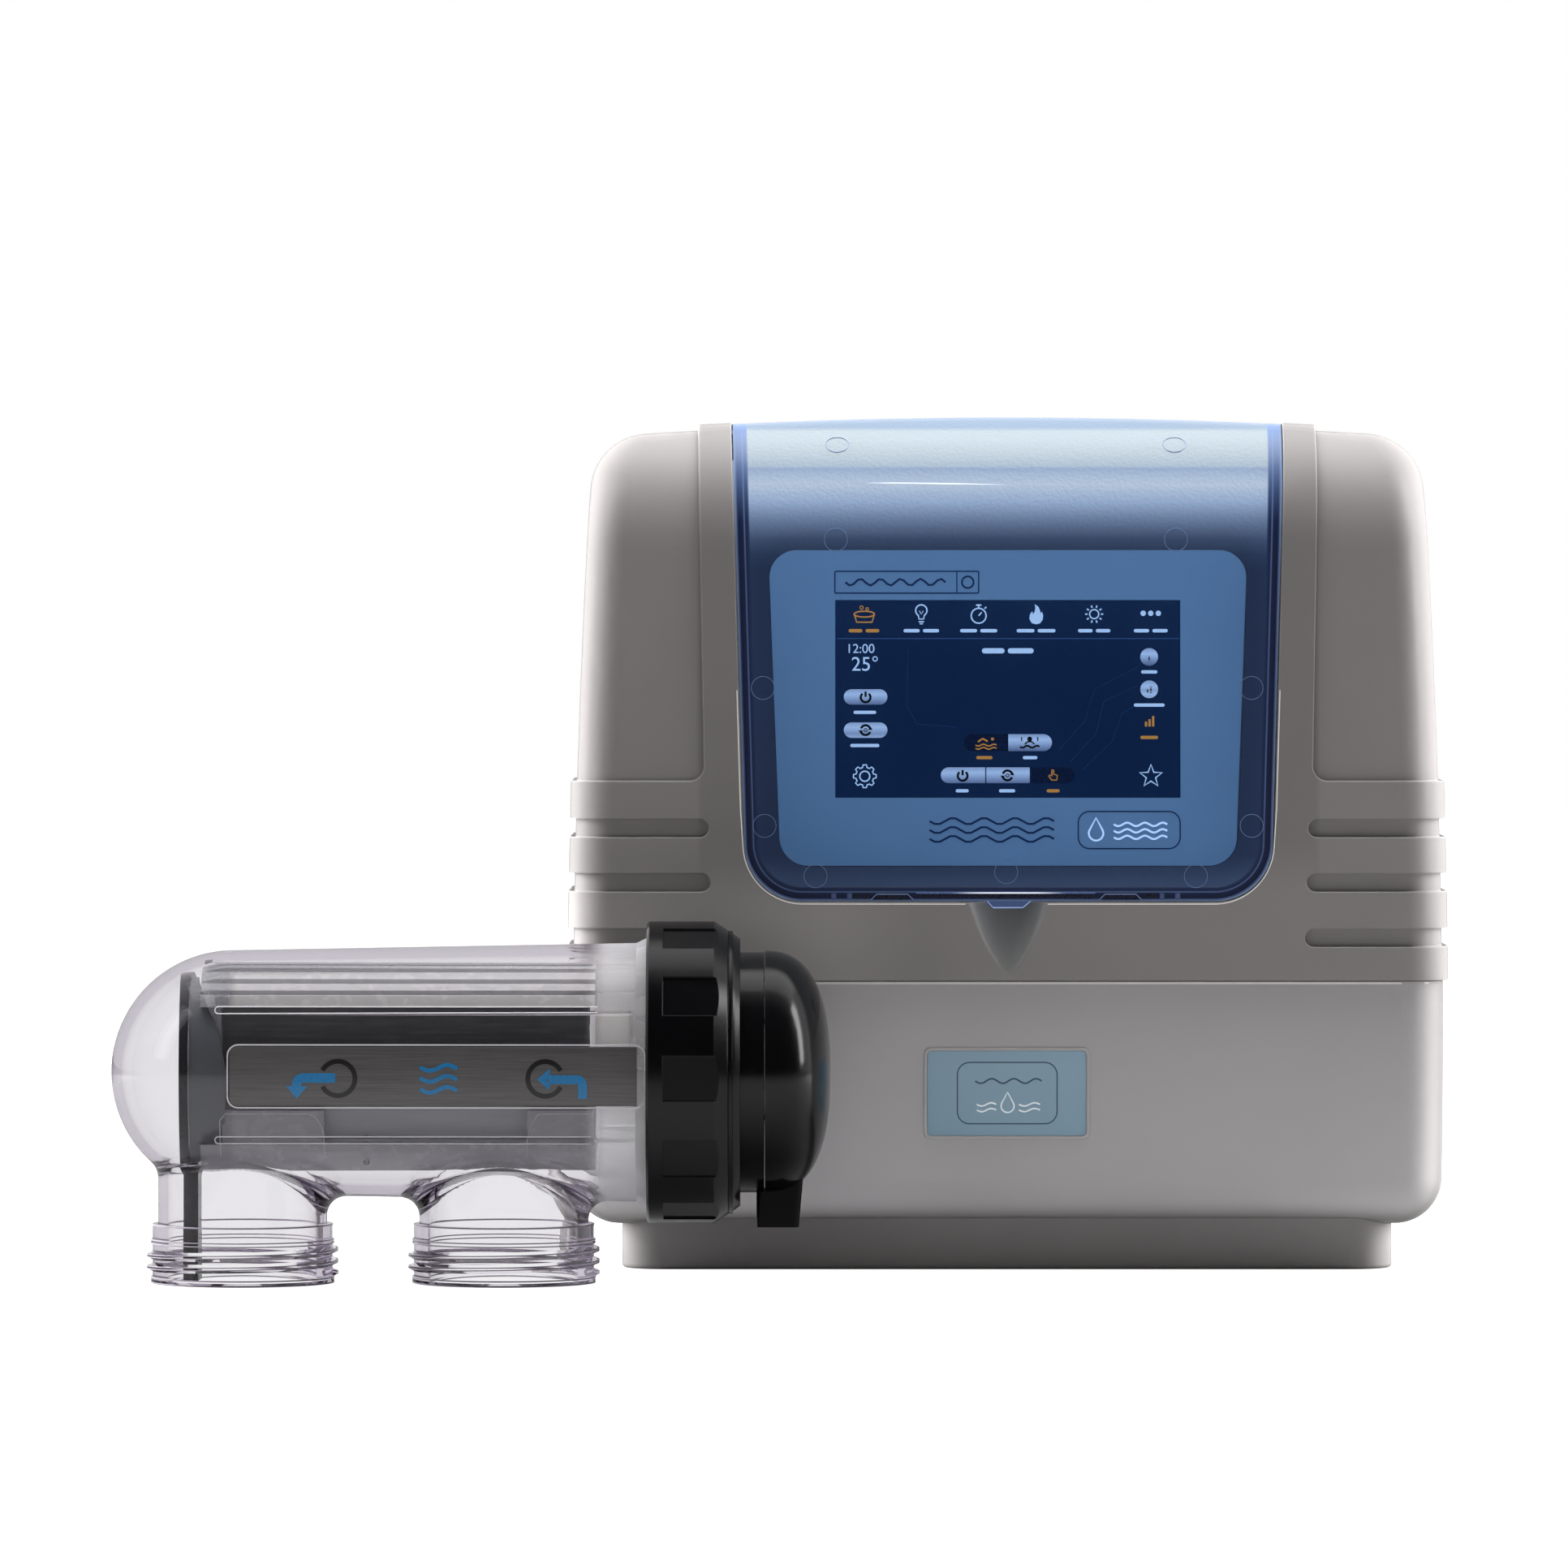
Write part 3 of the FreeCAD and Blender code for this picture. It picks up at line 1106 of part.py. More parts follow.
def cover_curve(inset):
    """A quarter superellipse of (x, radius) points from the cover's rim to its tip."""
    length = num(dim.cover_left) - num(dim.cover_tip) - inset
    radius = num(dim.cover_radius) - inset
    power, count = 2 / 2.5, 16
    points = []
    for i in range(count):
        t = math.pi / 2 * i / count
        points.append((COVER_X + length * math.sin(t) ** power,
                       radius * math.cos(t) ** power))
    return points + [(COVER_X + length, 0.0)]


out_curve, in_curve = cover_curve(0.0), cover_curve(COVER_WALL)
dome_outer = cell_turned("cover_dome_outer", [
    ((COVER_X, 0.0), out_curve[0]), out_curve, (out_curve[-1], (COVER_X, 0.0))])
behind, in_radius = COVER_X - 2.0, in_curve[0][1]
dome_inner = cell_turned("cover_dome_inner", [
    ((behind, 0.0), (behind, in_radius)), ((behind, in_radius), in_curve[0]),
    in_curve, (in_curve[-1], (behind, 0.0))])

boss_end = dim.cell_height - dim.boss_drop
boss_top = dim.cell_height - 34.0
cable_boss = prism("cable_boss", [(-100.4, boss_end), (-83.8, boss_end), (-81.4, boss_top),
                                  (-100.4, boss_top)], dim.cell_back - 11.5, 23.0)
cable_boss = round_body(cable_boss, 2.4, lambda e: spans(e)[1] < 1e-6 and spans(e)[2] > 10)
boss_trim = cell_rod("boss_trim", -120.0, -dim.cover_left, dim.cap_radius + 0.35)
boss_hole = box("boss_hole", -98.0, -86.0, -6.0 - dim.cell_back, 6.0 - dim.cell_back,
                10.0, 46.0)
cover_tubes, cover_wells = [], []
for y, z in CAP_SCREWS_AT:
    cover_tubes.append(cell_rod("cover_tube", -dim.cover_left, -72.0, 5.2, y, z))
    cover_wells.append(cell_rod("cover_well", -93.0, -60.0, 3.6, y, z))
    cover_wells.append(cell_rod("cover_hole", -110.0, -60.0, 1.8, y, z))
tube_set = common("cover_tubes", group("cover_tube_group", *cover_tubes), dome_outer)
cover_solid = fuse("cover_solid", cut("dome_shell", dome_outer, dome_inner), tube_set,
                   cut("boss_shell", cable_boss, boss_trim, dome_inner))
piece(cut("terminal_cover", cover_solid, boss_hole, *cover_wells))
piece(group("terminal_cover_screws", *[
    fuse("cover_fixing", cell_rod("fixing_head", -93.0, -90.4, 3.3, y, z),
         cell_rod("fixing_shank", -103.5, -92.9, 1.45, y, z)) for y, z in CAP_SCREWS_AT]))

grommet_raw = box("grommet_raw", -97.9, -86.1, -5.9 - dim.cell_back, 5.9 - dim.cell_back,
                  boss_end + 0.6, boss_end + 12.6)
grommet = rounded("grommet_body", grommet_raw, 1.0,
                  lambda e: all(v.Z < num(boss_end) + 1.0 for v in e.Vertexes))
piece(cut("cable_grommet", grommet, port_rod("grommet_bore", -92.0, 10.0, 3.6, 40.0)))

# ---------------------------------------------------------------- electrode plates
# anodes and cathodes alternate; their tabs reach different bus bars
ANODE_BUS, CATHODE_BUS = (1.0, 8.0), (-12.0, -5.0)
PLATES_Y = [(i - 3) * num(dim.plate_pitch) for i in range(7)]
plate_end = -dim.plate_right


def electrode(y, bus):
    y0, y1 = y - 0.5 * dim.plate_thick, y + 0.5 * dim.plate_thick
    sheet_part = cell_box("plate", -dim.plate_left, plate_end - 3.0, y0, y1, -29.6, 29.6)
    return fuse("electrode", sheet_part,
                cell_box("plate_tab", plate_end - 3.1, plate_end, y0, y1, *bus))


piece(group("anode_plates", *[electrode(y, ANODE_BUS) for y in PLATES_Y[::2]]))
piece(group("cathode_plates", *[electrode(y, CATHODE_BUS) for y in PLATES_Y[1::2]]))

# ---------------------------------------------------------------- plate carriers
PACK_RADIUS = 43.2
PACK_LEFT, PACK_RIGHT = -316.9, -163.2
pack = fuse("pack_limit", cell_rod("pack_limit_barrel", BARREL_X, -150.0, PACK_RADIUS),
            cell_sphere("pack_limit_dome", BARREL_X, PACK_RADIUS))


def plate_slots(name, x0, z0, z1):
    return [cell_box(name, x0, -150.0, y - 0.6, y + 0.6, z0, z1) for y in PLATES_Y]


top_cuts = plate_slots("top_slot", -312.0, 20.0, 29.7)
for z in (30.5, 34.5, 38.5):
    floor_y = math.sqrt(PACK_RADIUS ** 2 - z ** 2) - 3.0
    for y0, y1 in ((-60.0, -floor_y), (floor_y, 60.0)):
        top_cuts.append(cell_box("top_groove", -320.0, -150.0, y0, y1, z, z + 1.6))
top_box = cell_box("carrier_top_box", PACK_LEFT, PACK_RIGHT, -45, 45, 26.0, 43.3)
piece(cut("carrier_top", common("carrier_top_block", top_box, pack), *top_cuts))

low_parts = [cell_box("carrier_low_box", PACK_LEFT, PACK_RIGHT, -45, 45, -36.0, -26.0),
             cell_box("comb_wall", -316.2, -309.3, -27.0, 27.0, -30.5, 25.9)]
for x0, x1 in ((-308.6, -268.8), (-189.7, -163.7)):
    for y0, y1 in ((-33.5, -25.6), (25.6, 33.5)):
        low_parts.append(cell_box("cheek", x0, x1, y0, y1, -34.6, -13.0))
low_block = common("carrier_low_block", fuse("carrier_low_parts", *low_parts), pack)


def sensor_rod(name, drop, radius, length):
    """An upright cylinder on the flow sensor's axis, starting below the cell's axis."""
    return cyl(name, "z", -252.6, -28.0 - dim.cell_back, dim.cell_height - drop,
               radius, length)


piece(cut("carrier_bottom", low_block, *plate_slots("low_slot", -309.1, -29.7, -20.0),
          sensor_rod("sensor_hole", 45.0, 1.2, 25.0)))
piece(rounded("flow_sensor", sensor_rod("sensor_rod", 33.1, 1.15, 10.5), 0.5,
              lambda e: all(v.Z > num(dim.cell_height) - 25.0 for v in e.Vertexes)))

# ---------------------------------------------------------------- end baffle
baffle_solid = fuse("baffle_solid", cell_rod("baffle_disc", -324.8, -321.4, 39.6),
                    cell_box("baffle_strip", -324.8, -319.2, -8.0, 8.0, -81.4, -30.0))
piece(cut("end_baffle", baffle_solid,
          *[cell_box("baffle_window", -330.0, -315.0, y - 5.0, y + 5.0, -22.0, 22.0)
            for y in (-21.0, 0.0, 21.0)]))

# ---------------------------------------------------------------- bus bars and terminals
piece(group("bus_bars", *[cell_box("bus", -162.95, -158.0, -23.0, 23.0, *bus)
                          for bus in (ANODE_BUS, CATHODE_BUS)]))
insulator = rounded("insulator_block",
                    cell_box("insulator_raw", -163.1, -149.5, -24.0, 24.0, 11.0, 23.0),
                    1.2, lambda e: True)
piece(cut("bus_insulator", insulator,
          cell_rod("insulator_hole", -170.0, -140.0, 3.1, *POSTS_AT[2])))
piece(group("terminal_posts", *[
    cell_rod("terminal_post", x, -101.5, 2.95, y, z)
    for x, (y, z) in zip((-157.95, -157.95, -163.0), POSTS_AT)]))
nuts = []
for y, z in POSTS_AT:
    blank = place(hexagon("nut_raw", 5.6, 3.2), -105.95, y - dim.cell_back,
                  z + dim.cell_height, (0, 1, 0), 90)
    nuts.append(cut("nut", blank, cell_rod("nut_hole", -110.0, -100.0, 3.0, y, z)))
piece(group("terminal_nuts", *nuts))

# ---------------------------------------------------------------- checks and files
doc.recompute()
faults = [o.Name for o in doc.Objects if "Invalid" in o.State or "Error" in o.State]
for obj in PIECES:
    shape = obj.Shape
    if shape.isNull() or not shape.isValid() or shape.Volume <= 0:
        faults.append(obj.Label)
if faults:
    raise SystemExit("Objects that need attention: " + ", ".join(faults))
for obj in PIECES:
    obj.Shape.exportStep("parts/%s.step" % obj.Label)
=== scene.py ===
import bpy
import bmesh
import math
from mathutils import Vector, Matrix, geometry
from mathutils.bvhtree import BVHTree


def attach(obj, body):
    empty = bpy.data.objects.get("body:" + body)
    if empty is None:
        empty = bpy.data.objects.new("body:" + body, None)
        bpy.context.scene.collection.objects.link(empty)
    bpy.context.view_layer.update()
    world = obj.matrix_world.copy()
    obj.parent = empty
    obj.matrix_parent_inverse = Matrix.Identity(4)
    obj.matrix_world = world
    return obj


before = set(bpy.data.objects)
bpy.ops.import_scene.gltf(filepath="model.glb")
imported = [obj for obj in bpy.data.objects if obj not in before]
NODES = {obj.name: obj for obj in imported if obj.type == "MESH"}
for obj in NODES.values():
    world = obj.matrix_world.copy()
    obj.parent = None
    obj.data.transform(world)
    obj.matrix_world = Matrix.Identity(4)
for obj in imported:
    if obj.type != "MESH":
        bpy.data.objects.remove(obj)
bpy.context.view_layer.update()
scene = bpy.context.scene
MM = 0.001


def lin(rgb):
    """8-bit sRGB to linear."""
    out = []
    for c in rgb:
        c = c / 255.0
        out.append(c / 12.92 if c <= 0.04045 else ((c + 0.055) / 1.055) ** 2.4)
    return (*out, 1.0)


# ------------------------------------------------------------------ material helpers
class Nodes:
    def __init__(self, name):
        self.mat = bpy.data.materials.new(name)
        self.mat.use_nodes = True
        self.nt = self.mat.node_tree
        self.nt.nodes.clear()
        self.out = self.add("ShaderNodeOutputMaterial")
        self._coord = None

    def add(self, kind, **props):
        n = self.nt.nodes.new(kind)
        for k, v in props.items():
            setattr(n, k, v)
        return n

    def put(self, socket, value):
        if isinstance(value, bpy.types.NodeSocket):
            self.nt.links.new(value, socket)
        elif value is not None:
            if isinstance(value, (tuple, list)) and len(value) == 3 and socket.type == "RGBA":
                value = (*value, 1.0)
            socket.default_value = value

    def coord(self):
        if self._coord is None:
            self._coord = self.add("ShaderNodeTexCoord").outputs["Object"]
        return self._coord

    def xyz(self):
        s = self.add("ShaderNodeSeparateXYZ")
        self.put(s.inputs[0], self.coord())
        return s.outputs

    def math(self, op, a, b=None, clamp=False):
        n = self.add("ShaderNodeMath", operation=op, use_clamp=clamp)
        self.put(n.inputs[0], a)
        if b is not None:
            self.put(n.inputs[1], b)
        return n.outputs[0]

    def noise(self, scale, detail=3.0, rough=0.5, vector=None, out="Fac"):
        n = self.add("ShaderNodeTexNoise")
        self.put(n.inputs["Vector"], vector if vector is not None else self.coord())
        self.put(n.inputs["Scale"], scale)
        self.put(n.inputs["Detail"], detail)
        self.put(n.inputs["Roughness"], rough)
        return n.outputs[out]

    def stretch(self, sx, sy, sz):
        m = self.add("ShaderNodeMapping")
        self.put(m.inputs["Vector"], self.coord())
        m.inputs["Scale"].default_value = (sx, sy, sz)
        return m.outputs[0]

    def ramp(self, fac, stops, interp="LINEAR"):
        r = self.add("ShaderNodeValToRGB")
        r.color_ramp.interpolation = interp
        while len(r.color_ramp.elements) < len(stops):
            r.color_ramp.elements.new(0.5)
        for e, (p, c) in zip(r.color_ramp.elements, stops):
            e.position = p
            e.color = (*c[:3], 1.0)
        self.put(r.inputs[0], fac)
        return r.outputs["Color"]

    def remap(self, v, a, b, lo=0.0, hi=1.0, smooth=False):
        n = self.add("ShaderNodeMapRange", clamp=True)
        if smooth:
            n.interpolation_type = "SMOOTHSTEP"
        self.put(n.inputs["Value"], v)
        for i, x in zip(("From Min", "From Max", "To Min", "To Max"), (a, b, lo, hi)):
            self.put(n.inputs[i], x)
        return n.outputs["Result"]

    def mix(self, fac, a, b, blend="MIX"):
        n = self.add("ShaderNodeMix", data_type="RGBA", blend_type=blend)
        self.put(n.inputs["Factor"], fac)
        self.put(n.inputs["A"], a) if False else self.put(n.inputs[6], a)
        self.put(n.inputs[7], b)
        return n.outputs[2]

    def bump(self, height, strength=0.2, distance=0.0002, normal=None):
        n = self.add("ShaderNodeBump")
        self.put(n.inputs["Height"], height)
        self.put(n.inputs["Strength"], strength)
        self.put(n.inputs["Distance"], distance)
        if normal is not None:
            self.put(n.inputs["Normal"], normal)
        return n.outputs["Normal"]

    def bevel(self, radius, samples=4):
        n = self.add("ShaderNodeBevel", samples=samples)
        n.inputs["Radius"].default_value = radius
        return n.outputs["Normal"]

    def principled(self, color, rough=0.4, metal=0.0, normal=None, **more):
        p = self.add("ShaderNodeBsdfPrincipled")
        self.put(p.inputs["Base Color"], color)
        self.put(p.inputs["Roughness"], rough)
        self.put(p.inputs["Metallic"], metal)
        if normal is not None:
            self.put(p.inputs["Normal"], normal)
        names = {"ior": "IOR", "coat": "Coat Weight", "coat_rough": "Coat Roughness", "trans": "Transmission Weight", "spec": "Specular IOR Level",
                 "alpha": "Alpha", "emit": "Emission Color", "emit_strength": "Emission Strength", "sss": "Subsurface Weight", "sss_scale": "Subsurface Scale", "sheen": "Sheen Weight", "aniso": "Anisotropic"}
        for k, v in more.items():
            self.put(p.inputs[names[k]], v)
        return p.outputs[0]

    def done(self, shader):
        self.nt.links.new(shader, self.out.inputs["Surface"])
        return self.mat


def plastic(name, rgb, rough=0.42, vary=0.05, grain=900.0, grain_depth=0.00006, grain_strength=0.25, coat=0.0, coat_rough=0.1, bevel=0.0, spec=0.5, rough_vary=0.06, side=None, painted_light=None, painted_edge_highlight=0.0, edge_skip=None, away=0.0):
    """Moulded plastic: a fine spark-eroded grain, slow colour variation and slightly uneven gloss. Optional painted
    light and shade: a gain by position, a separate colour on faces turned sideways, darkening of faces turned away from
    the front, and paler bevelled edges as painted highlights.
    """
    m = Nodes(name)
    base = lin(rgb)
    slow = m.noise(9.0, 2.0)
    fine = m.noise(grain, 3.0, 0.6)
    dark = tuple(c * (1 - vary) for c in base[:3])
    light = tuple(min(1.0, c * (1 + vary)) for c in base[:3])
    color = m.ramp(slow, [(0.3, dark), (0.7, light)])
    # painted light and shade: the colour is multiplied by a gain that depends on position
    if painted_light:
        x, y, z = m.xyz()
        gain = painted_light(m, x, z)
        color = m.mix(1.0, color, gain, "MULTIPLY")
    if side:
        # painted shade: faces that turn away from the front and back take the side colour, while faces looking straight
        # front or back keep the base colour
        geo = m.add("ShaderNodeNewGeometry")
        tc = m.add("ShaderNodeTexCoord")
        sx = m.add("ShaderNodeSeparateXYZ")
        m.put(sx.inputs[0], tc.outputs["Normal"])
        turn = m.remap(m.math("ABSOLUTE", sx.outputs[1]), 0.35, 0.95, 0.0, 1.0, smooth=True)
        color = m.mix(turn, lin(side), color)
    # painted shade: faces that do not look towards the front are mixed towards a dark grey, fully once they turn
    # sideways
    if away:
        tn = m.add("ShaderNodeTexCoord")
        sa = m.add("ShaderNodeSeparateXYZ")
        m.put(sa.inputs[0], tn.outputs["Normal"])
        color = m.mix(m.remap(sa.outputs[1], -0.30, -0.03, 0.0, away, smooth=True), color, tuple(c * 0.30 for c in lin((150, 147, 146))[:3]))
    r = m.remap(m.noise(60.0, 3.0), 0.3, 0.7, max(0.02, rough - rough_vary), rough + rough_vary)
    normal = m.bevel(bevel) if bevel else None
    if painted_edge_highlight:
        # painted highlight: edges that look up or sideways are made a little paler on their bevelled rounding
        flat = m.add("ShaderNodeNewGeometry")
        dot = m.add("ShaderNodeVectorMath", operation="DOT_PRODUCT")
        m.put(dot.inputs[0], normal)
        m.put(dot.inputs[1], flat.outputs["Normal"])
        sn = m.add("ShaderNodeSeparateXYZ")
        m.put(sn.inputs[0], normal)
        up = m.math("MAXIMUM", m.remap(sn.outputs[2], 0.10, 0.45), m.remap(m.math("ABSOLUTE", sn.outputs[0]), 0.20, 0.60, 0.0, 0.6))
        mask = m.math("MULTIPLY", m.remap(dot.outputs["Value"], 0.990, 0.86), up)
        if edge_skip:
            mask = m.math("MULTIPLY", mask, edge_skip(m))
        color = m.mix(m.math("MULTIPLY", mask, painted_edge_highlight), color, (0.86, 0.84, 0.83, 1.0))
    n = m.bump(fine, grain_strength, grain_depth, normal)
    return m.done(m.principled(color, r, 0.0, n, coat=coat, coat_rough=coat_rough, spec=spec))


def metal(name, rgb, rough=0.3, brush=(1.0, 1.0, 1.0), depth=0.00003, vary=0.08):
    m = Nodes(name)
    base = lin(rgb)[:3]
    streak = m.noise(420.0, 4.0, 0.6, m.stretch(*brush))
    color = m.ramp(streak, [(0.25, tuple(c * (1 - vary) for c in base)), (0.75, tuple(min(1, c * (1 + vary)) for c in base))])
    r = m.remap(streak, 0.2, 0.8, max(0.05, rough - 0.08), rough + 0.1)
    return m.done(m.principled(color, r, 1.0, m.bump(streak, 0.3, depth)))


def clear(name, tint, edge_tint, rough=0.02, ior=1.46, shine=0.5, painted_light_veil=None):
    """Clear moulded plastic. Light reaches through it, and its rims and thick corners gather a faint colour."""
    m = Nodes(name)
    wave = m.noise(38.0, 2.0)
    r = m.remap(wave, 0.3, 0.7, rough * 0.6, rough * 1.6)
    n = m.bump(m.noise(22.0, 2.0), 0.08, 0.0004)
    weight = m.add("ShaderNodeLayerWeight")
    weight.inputs["Blend"].default_value = 0.35
    color = m.mix(m.math("POWER", weight.outputs["Facing"], 3.0), tint, edge_tint)
    glass = m.add("ShaderNodeBsdfRefraction")
    m.put(glass.inputs["Color"], color)
    m.put(glass.inputs["Roughness"], r)
    m.put(glass.inputs["IOR"], ior)
    m.put(glass.inputs["Normal"], n)
    gloss = m.add("ShaderNodeBsdfGlossy")
    m.put(gloss.inputs["Roughness"], m.math("ADD", r, 0.03))
    geo = m.add("ShaderNodeNewGeometry")
    inner = geo.outputs["Backfacing"]
    m.put(gloss.inputs["Color"], m.mix(inner, (1, 1, 1, 1), edge_tint))
    m.put(gloss.inputs["Normal"], n)
    fres = m.add("ShaderNodeFresnel")
    fres.inputs["IOR"].default_value = ior
    body = m.add("ShaderNodeMixShader")
    # on the way out of the plastic the whole of the inner reflection is kept
    m.put(body.inputs[0], m.math("MULTIPLY", fres.outputs[0], m.math("MAXIMUM", inner, shine)))
    m.nt.links.new(glass.outputs[0], body.inputs[1])
    m.nt.links.new(gloss.outputs[0], body.inputs[2])
    # painted light: a pale diffuse veil over the cell's right end, stronger lower down, stands in for the bright
    # backdrop seen through the clear plastic
    if painted_light_veil:
        x = m.xyz()[0]
        veil_shader = m.add("ShaderNodeBsdfDiffuse")
        m.put(veil_shader.inputs["Color"], painted_light_veil[3])
        veil = m.add("ShaderNodeMixShader")
        m.put(veil.inputs[0], m.math("MULTIPLY", m.remap(x, painted_light_veil[0], painted_light_veil[1], 0.0, painted_light_veil[2], smooth=True), m.remap(m.xyz()[2], 0.112, 0.060, 0.34, 1.0)))
        m.nt.links.new(body.outputs[0], veil.inputs[1])
        m.nt.links.new(veil_shader.outputs[0], veil.inputs[2])
        body = veil
    open_ = m.add("ShaderNodeBsdfTransparent")
    m.put(open_.inputs["Color"], tint)
    path = m.add("ShaderNodeLightPath")
    mix = m.add("ShaderNodeMixShader")
    m.put(mix.inputs[0], m.math("MAXIMUM", path.outputs["Is Shadow Ray"], path.outputs["Is Diffuse Ray"]))
    m.nt.links.new(body.outputs[0], mix.inputs[1])
    m.nt.links.new(open_.outputs[0], mix.inputs[2])
    return m.done(mix.outputs[0])


# ------------------------------------------------------------------ the unit's materials
EDGE = 0.0008
# painted light: the lid's colour stops up its brow are painted highlight bands and painted shade, dark low on the brow,
# pale bands towards the top and a darker strip at the very top
LID_STOPS = [(0.0, lin((50, 70, 108))[:3]), (0.10, lin((58, 80, 118))[:3]), (0.20, lin((84, 106, 144))[:3]), (0.32, lin((129, 151, 186))[:3]), (0.44, lin((165, 188, 220))[:3]),
             (0.55, lin((178, 193, 210))[:3]), (0.655, lin((128, 149, 176))[:3]), (0.670, lin((146, 162, 176))[:3]), (0.76, lin((145, 159, 167))[:3]), (0.90, lin((142, 154, 160))[:3]),
             (0.925, lin((110, 129, 150))[:3]), (1.0, lin((104, 124, 148))[:3])]


def grey(m, v):
    c = m.add("ShaderNodeCombineXYZ")
    for i in range(3):
        m.put(c.inputs[i], v)
    return c.outputs[0]


def in_scoop(m, x, z):
    return m.math("MULTIPLY", m.remap(m.math("ABSOLUTE", x), 0.0195, 0.0190), m.math("MULTIPLY", m.remap(z, 0.1150, 0.1160), m.remap(z, 0.1530, 0.1520)))


def scoop_edges(m):
    x, y, z = m.xyz()
    return m.math("SUBTRACT", 1.0, m.math("MULTIPLY", in_scoop(m, x, z), m.remap(z, 0.122, 0.146, 0.95, 0.35)))


def upper_painted_light(m, x, z):
    # painted light: lighter low on the left beside the cell, offsetting the cell's shade; painted shade: darker over
    # the middle, within about 123 mm of the centre line, above about 160 mm
    low_left = m.math("MULTIPLY", m.remap(x, -0.030, -0.080, 0.0, 0.34, smooth=True), m.remap(z, 0.165, 0.140, 0.0, 1.0, smooth=True))
    pillar = m.math("MULTIPLY", m.remap(m.math("ABSOLUTE", x), 0.1225, 0.1245, 0.16, 0.0), m.remap(z, 0.150, 0.175, 0.0, 1.0, smooth=True))
    base = m.math("SUBTRACT", m.math("ADD", 0.94, low_left), pillar)
    # the finger scoop: painted shade in its depth, a pale painted highlight where it meets the front, and a slightly
    # warmer tint in its depth
    y = m.xyz()[1]
    front = m.math("ADD", -0.072, m.math("MULTIPLY", m.math("SUBTRACT", z, 0.116), 0.0603))
    depth = m.math("SUBTRACT", y, front)
    here = in_scoop(m, x, z)
    dark = m.math("MULTIPLY", m.remap(depth, 0.0018, 0.0105, 0.0, 0.60, smooth=True), m.remap(z, 0.120, 0.149, 0.30, 1.0))
    pale = m.math("MULTIPLY", m.math("MULTIPLY", m.remap(depth, 0.0002, 0.0012), m.remap(depth, 0.0044, 0.0018)), m.remap(z, 0.120, 0.146, 0.02, 0.42))
    gain = m.math("SUBTRACT", m.math("ADD", 1.0, m.math("MULTIPLY", here, pale)), m.math("MULTIPLY", here, dark))
    v = m.math("MULTIPLY", base, gain)
    c = m.add("ShaderNodeCombineXYZ")
    m.put(c.inputs[0], v)
    warm = m.math("MULTIPLY", here, m.remap(depth, 0.0006, 0.0026))
    m.put(c.inputs[1], m.math("MULTIPLY", v, m.remap(warm, 0.0, 1.0, 1.0, 0.985)))
    m.put(c.inputs[2], m.math("MULTIPLY", v, m.remap(warm, 0.0, 1.0, 1.0, 0.90)))
    return c.outputs[0]


def lower_painted_light(m, x, z):
    # painted light: lighter on the left beside the cell and towards the bottom, darker to the right and higher up
    across = m.math("ADD", m.remap(x, -0.090, 0.0, 1.26, 1.0, smooth=True), m.remap(x, 0.0, 0.150, 0.0, -0.08, smooth=True))
    return grey(m, m.math("MULTIPLY", across, m.remap(z, 0.026, 0.116, 1.10, 0.80)))


# the covers and the case carry painted light and shade: position gains, the lower cover's pale front and darker side
# colour, darkening of faces turned away from the front, and paler bevelled edges as painted highlights
cover_grey = plastic("cover_grey", (150, 146, 145), rough=0.38, bevel=EDGE, grain=1400.0, grain_depth=0.00003, grain_strength=0.18, vary=0.02, spec=0.45, painted_light=upper_painted_light, painted_edge_highlight=0.75, edge_skip=scoop_edges, away=1.0)
lower_grey = plastic("lower_grey", (204, 201, 202), rough=0.38, bevel=EDGE, grain=1400.0, grain_depth=0.00003, grain_strength=0.18, vary=0.02, spec=0.45, side=(132, 129, 128), painted_light=lower_painted_light, painted_edge_highlight=0.75, away=1.0)
case_grey = plastic("case_grey", (150, 147, 146), rough=0.42, bevel=EDGE, grain=1100.0, grain_depth=0.00005, grain_strength=0.25, vary=0.03, spec=0.4, painted_edge_highlight=0.4, away=1.0)
black_gloss = plastic("black_gloss", (9, 9, 11), rough=0.15, bevel=0.0004, grain=700.0, grain_depth=0.00001, grain_strength=0.08, coat=0.0, rough_vary=0.03, spec=0.36)
black_ring = plastic("black_ring", (7, 7, 9), rough=0.22, bevel=0.0005, grain=1200.0, grain_depth=0.00002, grain_strength=0.15, rough_vary=0.04, spec=0.28)
black_dull = plastic("black_dull", (20, 20, 22), rough=0.5, grain=1100.0)
rubber = plastic("seal_rubber", (16, 16, 17), rough=0.75, grain=1500.0, grain_depth=0.00008, grain_strength=0.5, spec=0.3)
red = plastic("button_red", (168, 30, 26), rough=0.3, coat=0.4)
steel = metal("screw_steel", (190, 190, 192), 0.28)
zinc = metal("zinc_plate", (176, 178, 180), 0.42, (1, 1, 6), vary=0.15)
titan = metal("titanium", (128, 124, 124), 0.34, (0.15, 1, 1))
alu = metal("aluminium", (200, 201, 203), 0.33, (1, 1, 0.15))
brass = metal("brass_nuts", (190, 156, 88), 0.3)
green_pcb = plastic("board_green", (22, 92, 50), rough=0.32, vary=0.18, coat=0.5, grain=300.0, grain_depth=0.00004)
green_block = plastic("terminal_green", (46, 120, 66), rough=0.4)
wire_mat = plastic("wire_sleeves", (38, 38, 42), rough=0.5)
ribbon_mat = plastic("ribbon_grey", (152, 154, 158), rough=0.5)
cream = plastic("cream_block", (226, 222, 210), rough=0.45, vary=0.03)
cap_blue = plastic("capacitor_sleeve", (26, 32, 62), rough=0.3, coat=0.4)


